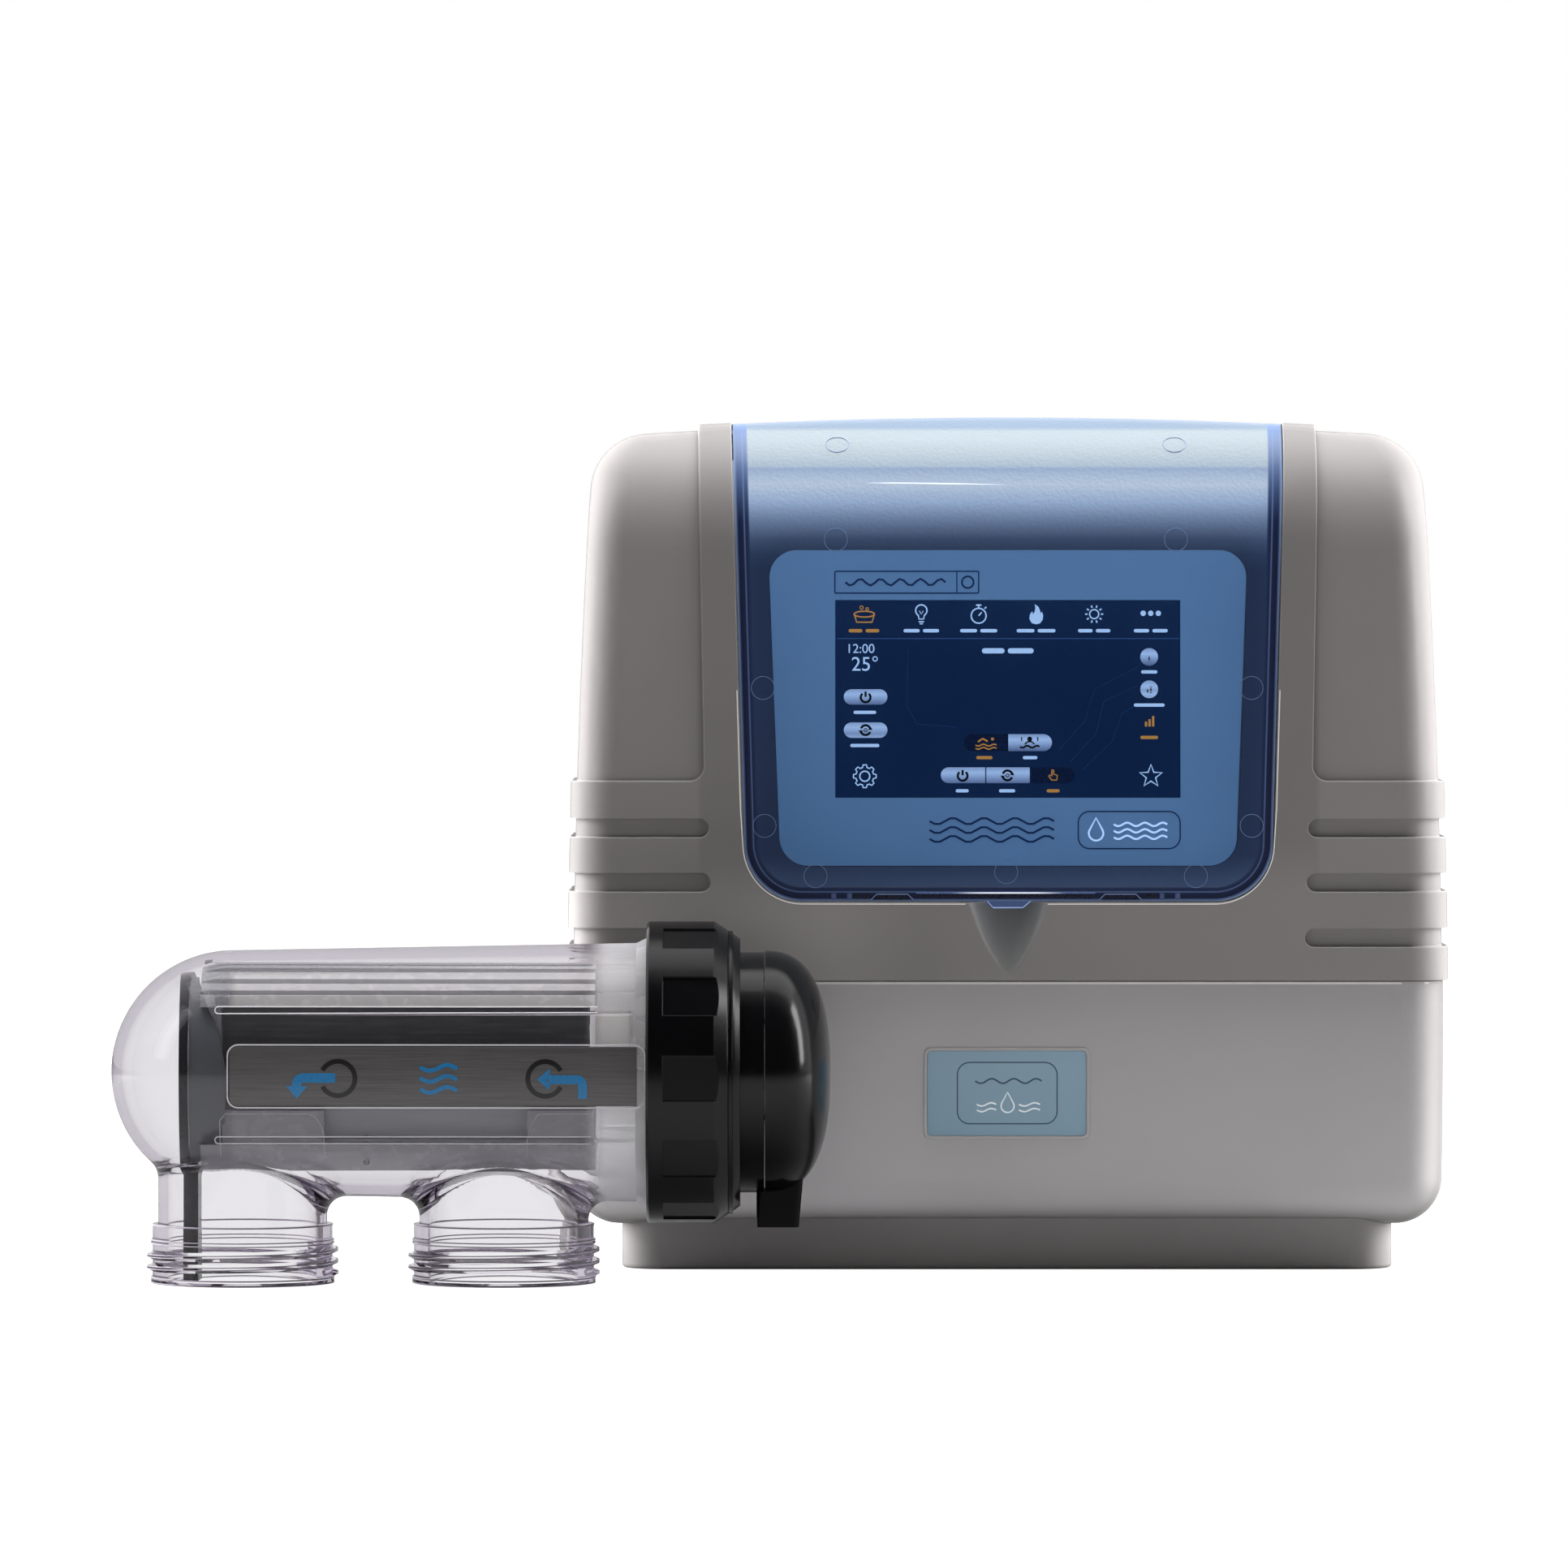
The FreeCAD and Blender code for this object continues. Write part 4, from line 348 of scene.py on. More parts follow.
def tape_material():
    m = Nodes("winding_tape")
    bands = m.add("ShaderNodeTexWave", wave_type="BANDS", bands_direction="Z")
    m.put(bands.inputs["Vector"], m.coord())
    m.put(bands.inputs["Scale"], 90.0)
    m.put(bands.inputs["Distortion"], 1.5)
    color = m.ramp(bands.outputs["Fac"], [(0.2, lin((176, 132, 40))[:3]), (0.8, lin((218, 178, 74))[:3])])
    return m.done(m.principled(color, 0.4, 0.0, m.bump(bands.outputs["Fac"], 0.5, 0.0003), coat=0.3))


def plate_material(name, dark, light):
    """Expanded, oxide coated titanium: fine horizontal rolling lines and a soft mottled coat."""
    m = Nodes(name)
    lines = m.noise(900.0, 3.0, 0.6, m.stretch(0.04, 1.0, 1.0))
    blot = m.noise(35.0, 4.0)
    c = m.mix(0.35, m.ramp(lines, [(0.3, lin(dark)[:3]), (0.7, lin(light)[:3])]), m.ramp(blot, [(0.35, lin(dark)[:3]), (0.65, lin(light)[:3])]))
    # the lower part of the stack, below about 70 mm, is paler
    z = m.xyz()[2]
    c = m.mix(m.remap(z, 0.074, 0.068, 0.0, 0.85, smooth=True), c, lin(tuple(min(255, v + 92) for v in light)))
    return m.done(m.principled(c, m.remap(lines, 0.2, 0.8, 0.35, 0.55), 0.5, m.bump(lines, 0.4, 0.00005)))


def foil_material():
    m = Nodes("label_foil")
    lines = m.noise(1500.0, 3.0, 0.65, m.stretch(0.02, 1.0, 1.0))
    c = m.ramp(lines, [(0.25, lin((84, 82, 82))[:3]), (0.75, lin((106, 103, 103))[:3])])
    return m.done(m.principled(c, m.remap(lines, 0.2, 0.8, 0.34, 0.5), 0.25, m.bump(lines, 0.25, 0.00003)))


def fascia_material():
    m = Nodes("fascia_print")
    slow = m.noise(14.0, 2.0)
    fine = m.noise(1600.0, 2.0)
    c = m.ramp(slow, [(0.3, (0.37, 0.545, 0.72)), (0.7, (0.39, 0.565, 0.74))])
    return m.done(m.principled(c, m.remap(fine, 0.3, 0.7, 0.38, 0.5), 0.0, m.bump(fine, 0.15, 0.00003)))


def screen_material():
    m = Nodes("screen_dark")
    x, y, z = m.xyz()
    glow = m.math("MULTIPLY", m.remap(z, 0.19, 0.27, 0.6, 1.0), 1.0)
    c = m.mix(glow, (0.0060, 0.0190, 0.0500), (0.0078, 0.0235, 0.0600))
    fine = m.noise(2500.0, 2.0)
    return m.done(m.principled((0.004, 0.006, 0.010, 1.0), m.remap(fine, 0.3, 0.7, 0.28, 0.36), 0.0, None, emit=c, emit_strength=1.0, spec=0.2))


def badge_material():
    m = Nodes("badge_print")
    x, y, z = m.xyz()
    c = m.ramp(m.remap(z, 0.054, 0.088), [(0.0, lin((160, 194, 216))[:3]), (1.0, lin((166, 198, 220))[:3])])
    fine = m.noise(1200.0, 2.0)
    return m.done(m.principled(c, m.remap(fine, 0.3, 0.7, 0.3, 0.4), 0.0, m.bump(fine, 0.1, 0.00003), spec=0.3))


def lid_material():
    """Tinted clear lid: polished over the screen window, spark-eroded elsewhere, with a thick polished rim."""
    m = Nodes("lid_tint")
    x, y, z = m.xyz()
    ax = m.math("ABSOLUTE", x)

    def rounded_distance(half, rad, zc, hz):
        dx = m.math("SUBTRACT", ax, m.math("SUBTRACT", half, rad))
        dz = m.math("SUBTRACT", m.math("ABSOLUTE", m.math("SUBTRACT", z, zc)), hz - rad)
        px, pz = m.math("MAXIMUM", dx, 0.0), m.math("MAXIMUM", dz, 0.0)
        inside = m.math("MINIMUM", m.math("MAXIMUM", dx, dz), 0.0)
        reach = m.math("SQRT", m.math("ADD", m.math("POWER", px, 2.0), m.math("POWER", pz, 2.0)))
        return m.math("SUBTRACT", m.math("ADD", reach, inside), rad)

    window = rounded_distance(m.remap(z, 0.1618, 0.288, 0.0911, 0.0959), 0.0115, 0.2249, 0.0631)
    # the lid's own outline: positive distance in from its edge
    rim = m.math("MULTIPLY", rounded_distance(m.remap(z, 0.148, 0.400, 0.1047, 0.1120), 0.0226, 0.448, 0.300), -1.0)
    outside = m.remap(window, -0.0002, 0.0002)          # 0 window, 1 frosted
    flat = m.remap(rim, 0.0052, 0.0058)                 # 0 on the rim, 1 in the frosted field
    # across the rim, painted highlights and shade for its rounding: bright edge, navy wall, pale line, dark line
    rim_color = m.ramp(m.remap(rim, 0.0, 0.0060), [(0.0, lin((150, 172, 208))[:3]), (0.10, lin((92, 112, 158))[:3]), (0.20, lin((26, 34, 66))[:3]), (0.52, lin((34, 44, 80))[:3]),
                                                   (0.60, lin((104, 128, 172))[:3]), (0.68, lin((34, 46, 84))[:3]), (1.0, lin((52, 72, 112))[:3])])
    # painted light: the brow's colour follows the painted highlight bands and shade of LID_STOPS
    h = m.remap(z, 0.280, 0.342)
    body = m.ramp(h, LID_STOPS)
    low = m.remap(z, 0.156, 0.166, 1.0, 0.0)
    body = m.mix(low, body, lin((76, 98, 138)))
    # painted shade: the frosted field darkens towards the window's edge
    near = m.remap(window, 0.0005, 0.012, 0.82, 1.0, smooth=True)
    body = m.mix(1.0, body, m.ramp(near, [(0.0, (0.0, 0.0, 0.0)), (1.0, (1.0, 1.0, 1.0))]), "MULTIPLY")
    rim_top = m.mix(m.remap(z, 0.300, 0.338), rim_color, lin((96, 122, 166)))
    body = m.mix(flat, rim_top, body)
    body = m.mix(m.remap(z, 0.1484, 0.1478), body, lin((92, 116, 166)))
    grain = m.noise(520.0, 3.0, 0.55)
    cell = m.add("ShaderNodeTexVoronoi", feature="SMOOTH_F1")
    m.put(cell.inputs["Vector"], m.coord())
    m.put(cell.inputs["Scale"], 780.0)
    height = m.math("MULTIPLY", m.math("ADD", m.math("MULTIPLY", grain, 0.6), m.math("MULTIPLY", cell.outputs["Distance"], 0.5)), m.math("MULTIPLY", outside, flat))
    normal = m.bump(height, 0.55, 0.00035)
    frosted = m.principled(body, 0.30, 0.0, normal, coat=0.5, coat_rough=0.10, ior=1.49)
    film = m.add("ShaderNodeBsdfTransparent")
    m.put(film.inputs["Color"], lin((150, 178, 220)))
    frost_mix = m.add("ShaderNodeMixShader")
    m.put(frost_mix.inputs[0], m.ramp(h, [(0.0, (0.74,) * 3), (0.6, (0.86,) * 3), (1.0, (0.94,) * 3)]))
    m.nt.links.new(film.outputs[0], frost_mix.inputs[1])
    m.nt.links.new(frosted, frost_mix.inputs[2])
    pane_film = m.add("ShaderNodeBsdfTransparent")
    m.put(pane_film.inputs["Color"], (0.70, 0.82, 0.96, 1.0))
    shine = m.add("ShaderNodeBsdfGlossy")
    m.put(shine.inputs["Roughness"], 0.03)
    m.put(shine.inputs["Color"], (1, 1, 1, 1))
    fres = m.add("ShaderNodeFresnel")
    fres.inputs["IOR"].default_value = 1.45
    pane = m.add("ShaderNodeMixShader")
    m.put(pane.inputs[0], m.math("MULTIPLY", fres.outputs[0], 0.35))
    m.nt.links.new(pane_film.outputs[0], pane.inputs[1])
    m.nt.links.new(shine.outputs[0], pane.inputs[2])
    both = m.add("ShaderNodeMixShader")
    m.put(both.inputs[0], outside)
    m.nt.links.new(pane.outputs[0], both.inputs[1])
    m.nt.links.new(frost_mix.outputs[0], both.inputs[2])
    # light from the room passes through the whole lid, only tinted
    path = m.add("ShaderNodeLightPath")
    through = m.add("ShaderNodeBsdfTransparent")
    m.put(through.inputs["Color"], lin((236, 242, 250)))
    last = m.add("ShaderNodeMixShader")
    m.put(last.inputs[0], m.math("MAXIMUM", path.outputs["Is Shadow Ray"], path.outputs["Is Diffuse Ray"]))
    m.nt.links.new(both.outputs[0], last.inputs[1])
    m.nt.links.new(through.outputs[0], last.inputs[2])
    seen = m.add("ShaderNodeMixShader")
    dull = m.add("ShaderNodeBsdfDiffuse")
    m.put(dull.inputs["Color"], lin((150, 152, 156)))
    m.put(seen.inputs[0], path.outputs["Is Glossy Ray"])
    m.nt.links.new(last.outputs[0], seen.inputs[1])
    m.nt.links.new(dull.outputs[0], seen.inputs[2])
    return m.done(seen.outputs[0])


def smoke_material():
    m = Nodes("smoke_baffle")
    fine = m.noise(120.0, 3.0)
    c = m.ramp(fine, [(0.3, lin((5, 5, 8))[:3]), (0.7, lin((10, 10, 14))[:3])])
    return m.done(m.principled(c, m.remap(fine, 0.3, 0.7, 0.2, 0.3), 0.0, m.bump(fine, 0.1, 0.0001), spec=0.12))


def carrier_material(name, rgb, mix_value, shade=None):
    m = Nodes(name)
    fine = m.noise(160.0, 3.0)
    c = m.ramp(fine, [(0.3, tuple(v * 0.9 for v in lin(rgb)[:3])), (0.7, lin(rgb)[:3])])
    if shade:
        x, y, z = m.xyz()
        c = m.mix(shade(m, x, z), c, lin((70, 74, 82)))
    body = m.principled(c, m.remap(fine, 0.3, 0.7, 0.18, 0.32), 0.0, m.bump(m.noise(500.0, 2.0), 0.15, 0.00005), coat=0.4)
    film = m.add("ShaderNodeBsdfTransparent")
    m.put(film.inputs["Color"], (0.85, 0.85, 0.88, 1))
    mix = m.add("ShaderNodeMixShader")
    mix.inputs[0].default_value = mix_value
    m.nt.links.new(film.outputs[0], mix.inputs[1])
    m.nt.links.new(body, mix.inputs[2])
    return m.done(mix.outputs[0])


def glass_material():
    m = Nodes("touch_glass")
    fres = m.add("ShaderNodeFresnel")
    fres.inputs["IOR"].default_value = 1.5
    n = m.bump(m.noise(30.0, 2.0), 0.05, 0.0002)
    m.put(fres.inputs["Normal"], n)
    t = m.add("ShaderNodeBsdfTransparent")
    m.put(t.inputs["Color"], (0.93, 0.95, 1.0, 1))
    g = m.add("ShaderNodeBsdfGlossy")
    m.put(g.inputs["Roughness"], m.remap(m.noise(400.0, 2.0), 0.3, 0.7, 0.02, 0.06))
    mix = m.add("ShaderNodeMixShader")
    m.put(mix.inputs[0], fres.outputs[0])
    m.nt.links.new(t.outputs[0], mix.inputs[1])
    m.nt.links.new(g.outputs[0], mix.inputs[2])
    return m.done(mix.outputs[0])


# the housing's pale veil over its right end is painted light
housing_clear = clear("housing_clear", (0.957, 0.953, 0.961, 1.0), (0.66, 0.632, 0.684, 1.0), rough=0.012, ior=1.45, painted_light_veil=(-0.168, -0.158, 0.38, (0.92, 0.91, 0.93, 1.0)))
# painted shade: the black gloss reflects less towards the bottom (specular level 0.08 at 50 mm up to 0.36 at 82 mm), so
# its lower part stays dark
pr = next(n for n in black_gloss.node_tree.nodes if n.type == "BSDF_PRINCIPLED")
co = black_gloss.node_tree.nodes.new("ShaderNodeTexCoord")
sx = black_gloss.node_tree.nodes.new("ShaderNodeSeparateXYZ")
mp = black_gloss.node_tree.nodes.new("ShaderNodeMapRange")
black_gloss.node_tree.links.new(co.outputs["Object"], sx.inputs[0])
black_gloss.node_tree.links.new(sx.outputs[2], mp.inputs["Value"])
for key, val in (("From Min", 0.050), ("From Max", 0.082), ("To Min", 0.08), ("To Max", 0.36)):
    mp.inputs[key].default_value = val
black_gloss.node_tree.links.new(mp.outputs["Result"], pr.inputs["Specular IOR Level"])
LOOKS = {
    "rear_case": case_grey, "upper_front_cover": cover_grey, "lower_front_cover": lower_grey, "cover_gasket": rubber, "hinge_pins": steel,
    "lid": lid_material(), "display_fascia": fascia_material(), "touch_glass": glass_material(), "lcd_module": screen_material(),
    "control_board": green_pcb, "board_screws": steel, "power_board": green_pcb, "heat_sink": alu, "transformer": tape_material(), "transformer_bolt": steel,
    "capacitors": cap_blue, "relays": black_dull, "terminal_block": green_block, "badge": badge_material(), "mains_gland": black_dull, "gland_nut": black_dull,
    "cell_lead_socket": black_dull, "pump_outlet": black_dull, "breaker_body": black_dull, "breaker_button": red, "cover_screws": steel, "wall_bracket": zinc,
    "ribbon_cable": ribbon_mat, "wiring_loom": wire_mat, "cell_housing": housing_clear, "cell_label": foil_material(), "end_baffle": smoke_material(),
    "cell_cap": black_gloss, "cap_seal": rubber, "terminal_cover": black_gloss, "terminal_cover_screws": steel, "cable_grommet": rubber,
    "anode_plates": plate_material("anode_coat", (44, 46, 48), (74, 76, 78)), "cathode_plates": plate_material("cathode_coat", (70, 70, 72), (104, 104, 106)),
    "carrier_top": carrier_material("carrier_clear", (172, 170, 168), 0.62, lambda m, x, z: m.math("MAXIMUM", m.math("MULTIPLY", m.remap(z, 0.1195, 0.1225, 0.0, 1.0), m.remap(x, -0.300, -0.180, 0.85, 0.25)), m.remap(x, -0.303, -0.307, 0.0, 0.7))), "carrier_bottom": carrier_material("carrier_grey", (148, 146, 152), 0.8, lambda m, x, z: m.remap(x, -0.303, -0.307, 0.0, 0.35)),
    "flow_sensor": titan, "bus_bars": titan, "bus_insulator": cream, "terminal_posts": titan, "terminal_nuts": brass, "locking_ring": black_ring,
}
for name, obj in NODES.items():
    mat = LOOKS[name]
    if not obj.material_slots:
        obj.data.materials.append(mat)
    for s in obj.material_slots:
        s.link = "OBJECT"
        s.material = mat

# ------------------------------------------------------------------ thin printed and moulded detail
P0, T, NRM = (-72.0, 116.0), (0.0602339, 0.998184), (0.998184, -0.0602339)     # upper front plane, (Y, Z), millimetres
Q0, QT, QN = (-66.0, 16.0), (-0.0598922, 0.998205), (0.998205, 0.0598922)      # lower front plane


def on_upper(d):
    """Maps (x, height) in millimetres to a point d behind the upper front."""
    def f(u, v):
        s = (v - P0[1] - d * NRM[1]) / T[1]
        return Vector((u * MM, (P0[0] + s * T[0] + d * NRM[0]) * MM, (P0[1] + s * T[1] + d * NRM[1]) * MM))
    f.normal = Vector((0, -NRM[0], -NRM[1]))
    return f


def on_lower(d):
    def f(u, v):
        s = (v - Q0[1] - d * QN[1]) / QT[1]
        return Vector((u * MM, (Q0[0] + s * QT[0] + d * QN[0]) * MM, (Q0[1] + s * QT[1] + d * QN[1]) * MM))
    f.normal = Vector((0, -QN[0], -QN[1]))
    return f


def on_cell(lift):
    """Maps (x, height) to the front of the cell's barrel."""
    def f(u, v):
        r = 48.0 + (u + 305.9) * 2.8 / 158.5 + lift
        z = v - 82.6
        return Vector((u * MM, (-138.0 - math.sqrt(max(1.0, r * r - z * z))) * MM, v * MM))
    f.normal = None
    return f


def stroke(points, width, closed=False):
    """A ribbon along a polyline: a list of quads in 2D."""
    n = len(points)
    left, right = [], []
    for i in range(n):
        a = points[i - 1] if (i > 0 or closed) else points[i]
        b = points[(i + 1) % n] if (i < n - 1 or closed) else points[i]
        dx, dy = b[0] - a[0], b[1] - a[1]
        l = math.hypot(dx, dy) or 1.0
        nx, ny = -dy / l * width / 2, dx / l * width / 2
        left.append((points[i][0] + nx, points[i][1] + ny))
        right.append((points[i][0] - nx, points[i][1] - ny))
    quads = []
    for i in range(n if closed else n - 1):
        j = (i + 1) % n
        quads.append([right[i], right[j], left[j], left[i]])
    return quads


def arc_points(cx, cy, r, a0, a1, n=28, ry=None):
    return [(cx + r * math.cos(math.radians(a0 + (a1 - a0) * i / n)), cy + (ry or r) * math.sin(math.radians(a0 + (a1 - a0) * i / n))) for i in range(n + 1)]


def ring(cx, cy, r, w, n=36):
    return stroke(arc_points(cx, cy, r, 0, 360 - 360 / n, n - 1), w, True)


def disc(cx, cy, r, n=28, ry=None):
    return [arc_points(cx, cy, r, 0, 360 - 360 / n, n - 1, ry)]


def pill(x0, x1, y0, y1, r, left=True, right=True):
    pts = []
    for cx, cy, a, on in ((x1 - r, y1 - r, 0, right), (x0 + r, y1 - r, 90, left), (x0 + r, y0 + r, 180, left), (x1 - r, y0 + r, 270, right)):
        if on:
            pts += arc_points(cx, cy, r, a, a + 90, 8)
        else:
            pts += [(x1 if a in (0, 270) else x0, y1 if a in (0, 90) else y0)]
    return [pts]


def outline(poly, w):
    return stroke(poly, w, True)


def decal(name, polys, where, thick, mat, body):
    """Thin raised print: each polygon becomes a slab standing on the surface, between the two surface maps given in
    where. The thick argument is not used.
    """
    bm = bmesh.new()
    for poly in polys:
        area = sum(poly[i][0] * poly[(i + 1) % len(poly)][1] - poly[(i + 1) % len(poly)][0] * poly[i][1] for i in range(len(poly)))
        if area < 0:
            poly = poly[::-1]
        front = [bm.verts.new(where[0](*p)) for p in poly]
        back = [bm.verts.new(where[1](*p)) for p in poly]
        tris = geometry.tessellate_polygon([[Vector((p[0], p[1], 0)) for p in poly]])
        for t in tris:
            bm.faces.new([front[i] for i in t])
            bm.faces.new([back[i] for i in reversed(t)])
        n = len(poly)
        for i in range(n):
            j = (i + 1) % n
            bm.faces.new([front[j], front[i], back[i], back[j]])
    bmesh.ops.recalc_face_normals(bm, faces=bm.faces)
    me = bpy.data.meshes.new(name)
    bm.to_mesh(me)
    bm.free()
    o = bpy.data.objects.new(name, me)
    scene.collection.objects.link(o)
    me.materials.append(mat)
    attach(o, body)
    return o


def ink(name, rgb, rough=0.4, emit=0.0, metallic=0.0):
    m = Nodes(name)
    fine = m.noise(1800.0, 2.0)
    b = lin(rgb)[:3]
    c = m.ramp(fine, [(0.3, tuple(v * 0.94 for v in b)), (0.7, tuple(min(1, v * 1.04) for v in b))])
    return m.done(m.principled(c, m.remap(fine, 0.3, 0.7, max(0.02, rough - 0.05), rough + 0.05), metallic, None, emit=c, emit_strength=emit))


def px(x, y):
    """Layout grid of the screen picture (four units to about 1.3 mm) to millimetres."""
    return (x - 1243.0) * 0.3235, (1568.0 - y) * 0.3235


def P(pts):
    return [px(*p) for p in pts]


def PX(polys):
    return [P(p) for p in polys]


silver, orange, navy, pale, button_m, button_dark = [], [], [], [], [], []


def bar(x0, x1, y, h=4.2):
    return pill(x0, x1, y - h / 2, y + h / 2, h / 2)


# screen layout, drawn on the same grid as the fascia
tabs = [1065, 1136, 1207, 1278, 1350, 1420]
widths = [19, 22, 23, 24, 20, 21]
for i, (cx, w) in enumerate(zip(tabs, widths)):
    (orange if i == 0 else silver).extend(bar(cx - w, cx - 2, 777.5) + bar(cx + 2, cx + w, 777.5))
# tub with bubbles
orange += stroke([(1053, 757), (1056, 767), (1075, 767), (1078, 757)], 1.8) + stroke(arc_points(1065.5, 757, 12.6, 0, 360, 30, 3.6), 1.7, False)
orange += ring(1062, 749, 2.0, 1.2, 14) + ring(1069, 750.5, 1.6, 1.1, 14)
# bulb
silver += stroke(arc_points(1136, 752.5, 7.0, 120, 420, 30), 1.7) + stroke([(1132.4, 758.6), (1133, 763), (1139, 763), (1139.6, 758.6)], 1.6) + bar(1132.6, 1139.4, 766.4, 1.7) + bar(1133.8, 1138.2, 769, 1.5)
silver += stroke([(1133.6, 753), (1136, 757), (1138.4, 753)], 1.1)
# stopwatch
silver += ring(1207, 759, 9.2, 1.7) + bar(1203.6, 1210.4, 745.8, 2.0) + stroke([(1207, 746), (1207, 749.6)], 1.6) + stroke([(1207, 759), (1210.8, 754.6)], 1.6) + stroke([(1214.4, 750.2), (1216.6, 748)], 1.8)
# flame
flame = [(1278, 769.6), (1272.6, 768), (1269.8, 763), (1270.4, 757.4), (1273.4, 753.4), (1274.2, 757.4), (1276.2, 754.4), (1277.2, 749), (1276.2, 744.6), (1281, 748), (1283, 752.6),
         (1283.4, 756.4), (1285.2, 753.8), (1286.8, 758.4), (1286.2, 764), (1283, 768.4)]
silver += [flame]
# sun
silver += ring(1350, 757, 5.6, 1.6, 24)
for k in range(10):
    a = math.radians(36 * k)
    silver += stroke([(1350 + 8.2 * math.cos(a), 757 + 8.2 * math.sin(a)), (1350 + 11.2 * math.cos(a), 757 + 11.2 * math.sin(a))], 1.8)
for cx in (1410.6, 1420, 1429.4):
    silver += disc(cx, 756, 3.3)
# rule under the tabs
rule = bar(1031.5, 1455, 787.2, 1.2)
# title and captions as plain bars
silver += bar(1211, 1239, 802.4, 6.4) + bar(1243, 1275, 802.4, 6.4)
for cx, y, w, kind in ((1066, 878.5, 14, 0), (1066, 919.5, 18, 0), (1186.5, 975.5, 8, 0), (1242, 975.5, 10, 0), (1299, 975.5, 8, 1), (1214, 934.5, 10, 1), (1270.5, 934.5, 9, 0),
                       (1418, 828.5, 10, 0), (1418, 869.5, 19, 0), (1418, 909.5, 11, 1)):
    (orange if kind else silver).extend(bar(cx - w, cx + w, y, 4.0))
# pills
button_m += pill(1040, 1094, 850, 869, 9.5) + pill(1040, 1094, 891, 910, 9.5) + pill(1160, 1215, 946.5, 966, 9.7, True, False) + pill(1216.4, 1270, 946.5, 966, 0.8) + pill(1243.6, 1297.5, 905.5, 926.5, 10.4, False, True)
button_dark += pill(1271.4, 1325, 946.5, 966, 9.7, False, True) + pill(1189, 1242.4, 905.5, 926.5, 10.4, True, False)
button_m += disc(1418, 810, 11.0) + disc(1418, 850, 11.0)


def power(cx, cy, r=6.0, w=1.7):
    return stroke(arc_points(cx, cy, r, -50, 230, 24), w) + stroke([(cx, cy - r - 1.2), (cx, cy - 0.6)], w)


def cycle(cx, cy, r=6.0, w=1.7):
    out = stroke(arc_points(cx, cy, r, 20, 160, 16), w) + stroke(arc_points(cx, cy, r, 200, 340, 16), w)
    out += [[(cx - r - 2.6, cy + 0.2), (cx - r + 2.8, cy + 0.4), (cx - r - 0.2, cy + 4.4)], [(cx + r + 2.6, cy - 0.2), (cx + r - 2.8, cy - 0.4), (cx + r + 0.2, cy - 4.4)]]
    return out + ring(cx, cy, 1.9, 1.2, 14)


def waves(x0, x1, y, amp, w, n=2, rows=1, gap=4.0):
    out = []
    for k in range(rows):
        pts = [(x0 + (x1 - x0) * i / 24, y + k * gap + amp * math.sin(2 * math.pi * n * i / 24)) for i in range(25)]
        out += stroke(pts, w)
    return out


dark_icons = power(1067, 860, w=2.8) + power(1187, 957, w=2.8) + cycle(1067, 900.5, w=2.8) + cycle(1242.5, 956.5, w=2.8)
dark_icons += waves(1258, 1282, 921, 1.2, 2.4, 2, 1) + disc(1270, 911.5, 3.0) + stroke([(1264, 918), (1267.5, 914.8), (1272.5, 914.8), (1276, 918)], 1.8) + stroke([(1260, 909), (1260, 914)], 1.4) + stroke([(1280, 909), (1280, 914)], 1.4)
dark_icons += bar(1417, 1419, 812, 6) + bar(1415, 1417, 852, 5) + bar(1419, 1421, 850.5, 8)
orange += waves(1203, 1229, 919, 1.1, 1.6, 2, 2, 4.0) + disc(1224, 911.5, 1.9) + stroke([(1206, 915), (1212, 911), (1218, 914.5)], 2.2)
for k, h in enumerate((6, 9, 13)):
    orange += [[(1412.6 + 4.4 * k, 896), (1415.4 + 4.4 * k, 896), (1415.4 + 4.4 * k, 896 - h), (1412.6 + 4.4 * k, 896 - h)]]
orange += stroke([(1297, 962), (1293.4, 957), (1295.2, 955.8), (1297.4, 957.6), (1297.4, 949.6), (1299.6, 949.6), (1299.8, 955), (1304.2, 956.4), (1303.2, 962.4)], 1.5, True)
# gear and star
gear = []
for k in range(8):
    a = math.radians(45 * k)
    for off, r in ((-14, 11.2), (-8.5, 14.2), (8.5, 14.2), (14, 11.2)):
        b = a + math.radians(off)
        gear.append((1066 + r * math.cos(b), 957.5 + r * math.sin(b)))
silver += outline(gear, 1.7) + ring(1066, 957.5, 6.2, 1.7, 26)
star = [(1420 + (14.5 if k % 2 == 0 else 6.0) * math.sin(math.pi * k / 5), 957.5 - (14.5 if k % 2 == 0 else 6.0) * math.cos(math.pi * k / 5)) for k in range(10)]
silver += outline(star, 1.9)
# faint pool drawing behind the controls
ghost = stroke([(1120, 800), (1118, 870), (1130, 893), (1180, 897)], 1.6) + stroke([(1320, 940), (1352, 905), (1362, 865), (1404, 845)], 1.4) + stroke([(1335, 950), (1372, 915), (1384, 880), (1404, 868)], 1.4) + stroke([(1306, 925), (1338, 890), (1350, 850), (1404, 822)], 1.4)

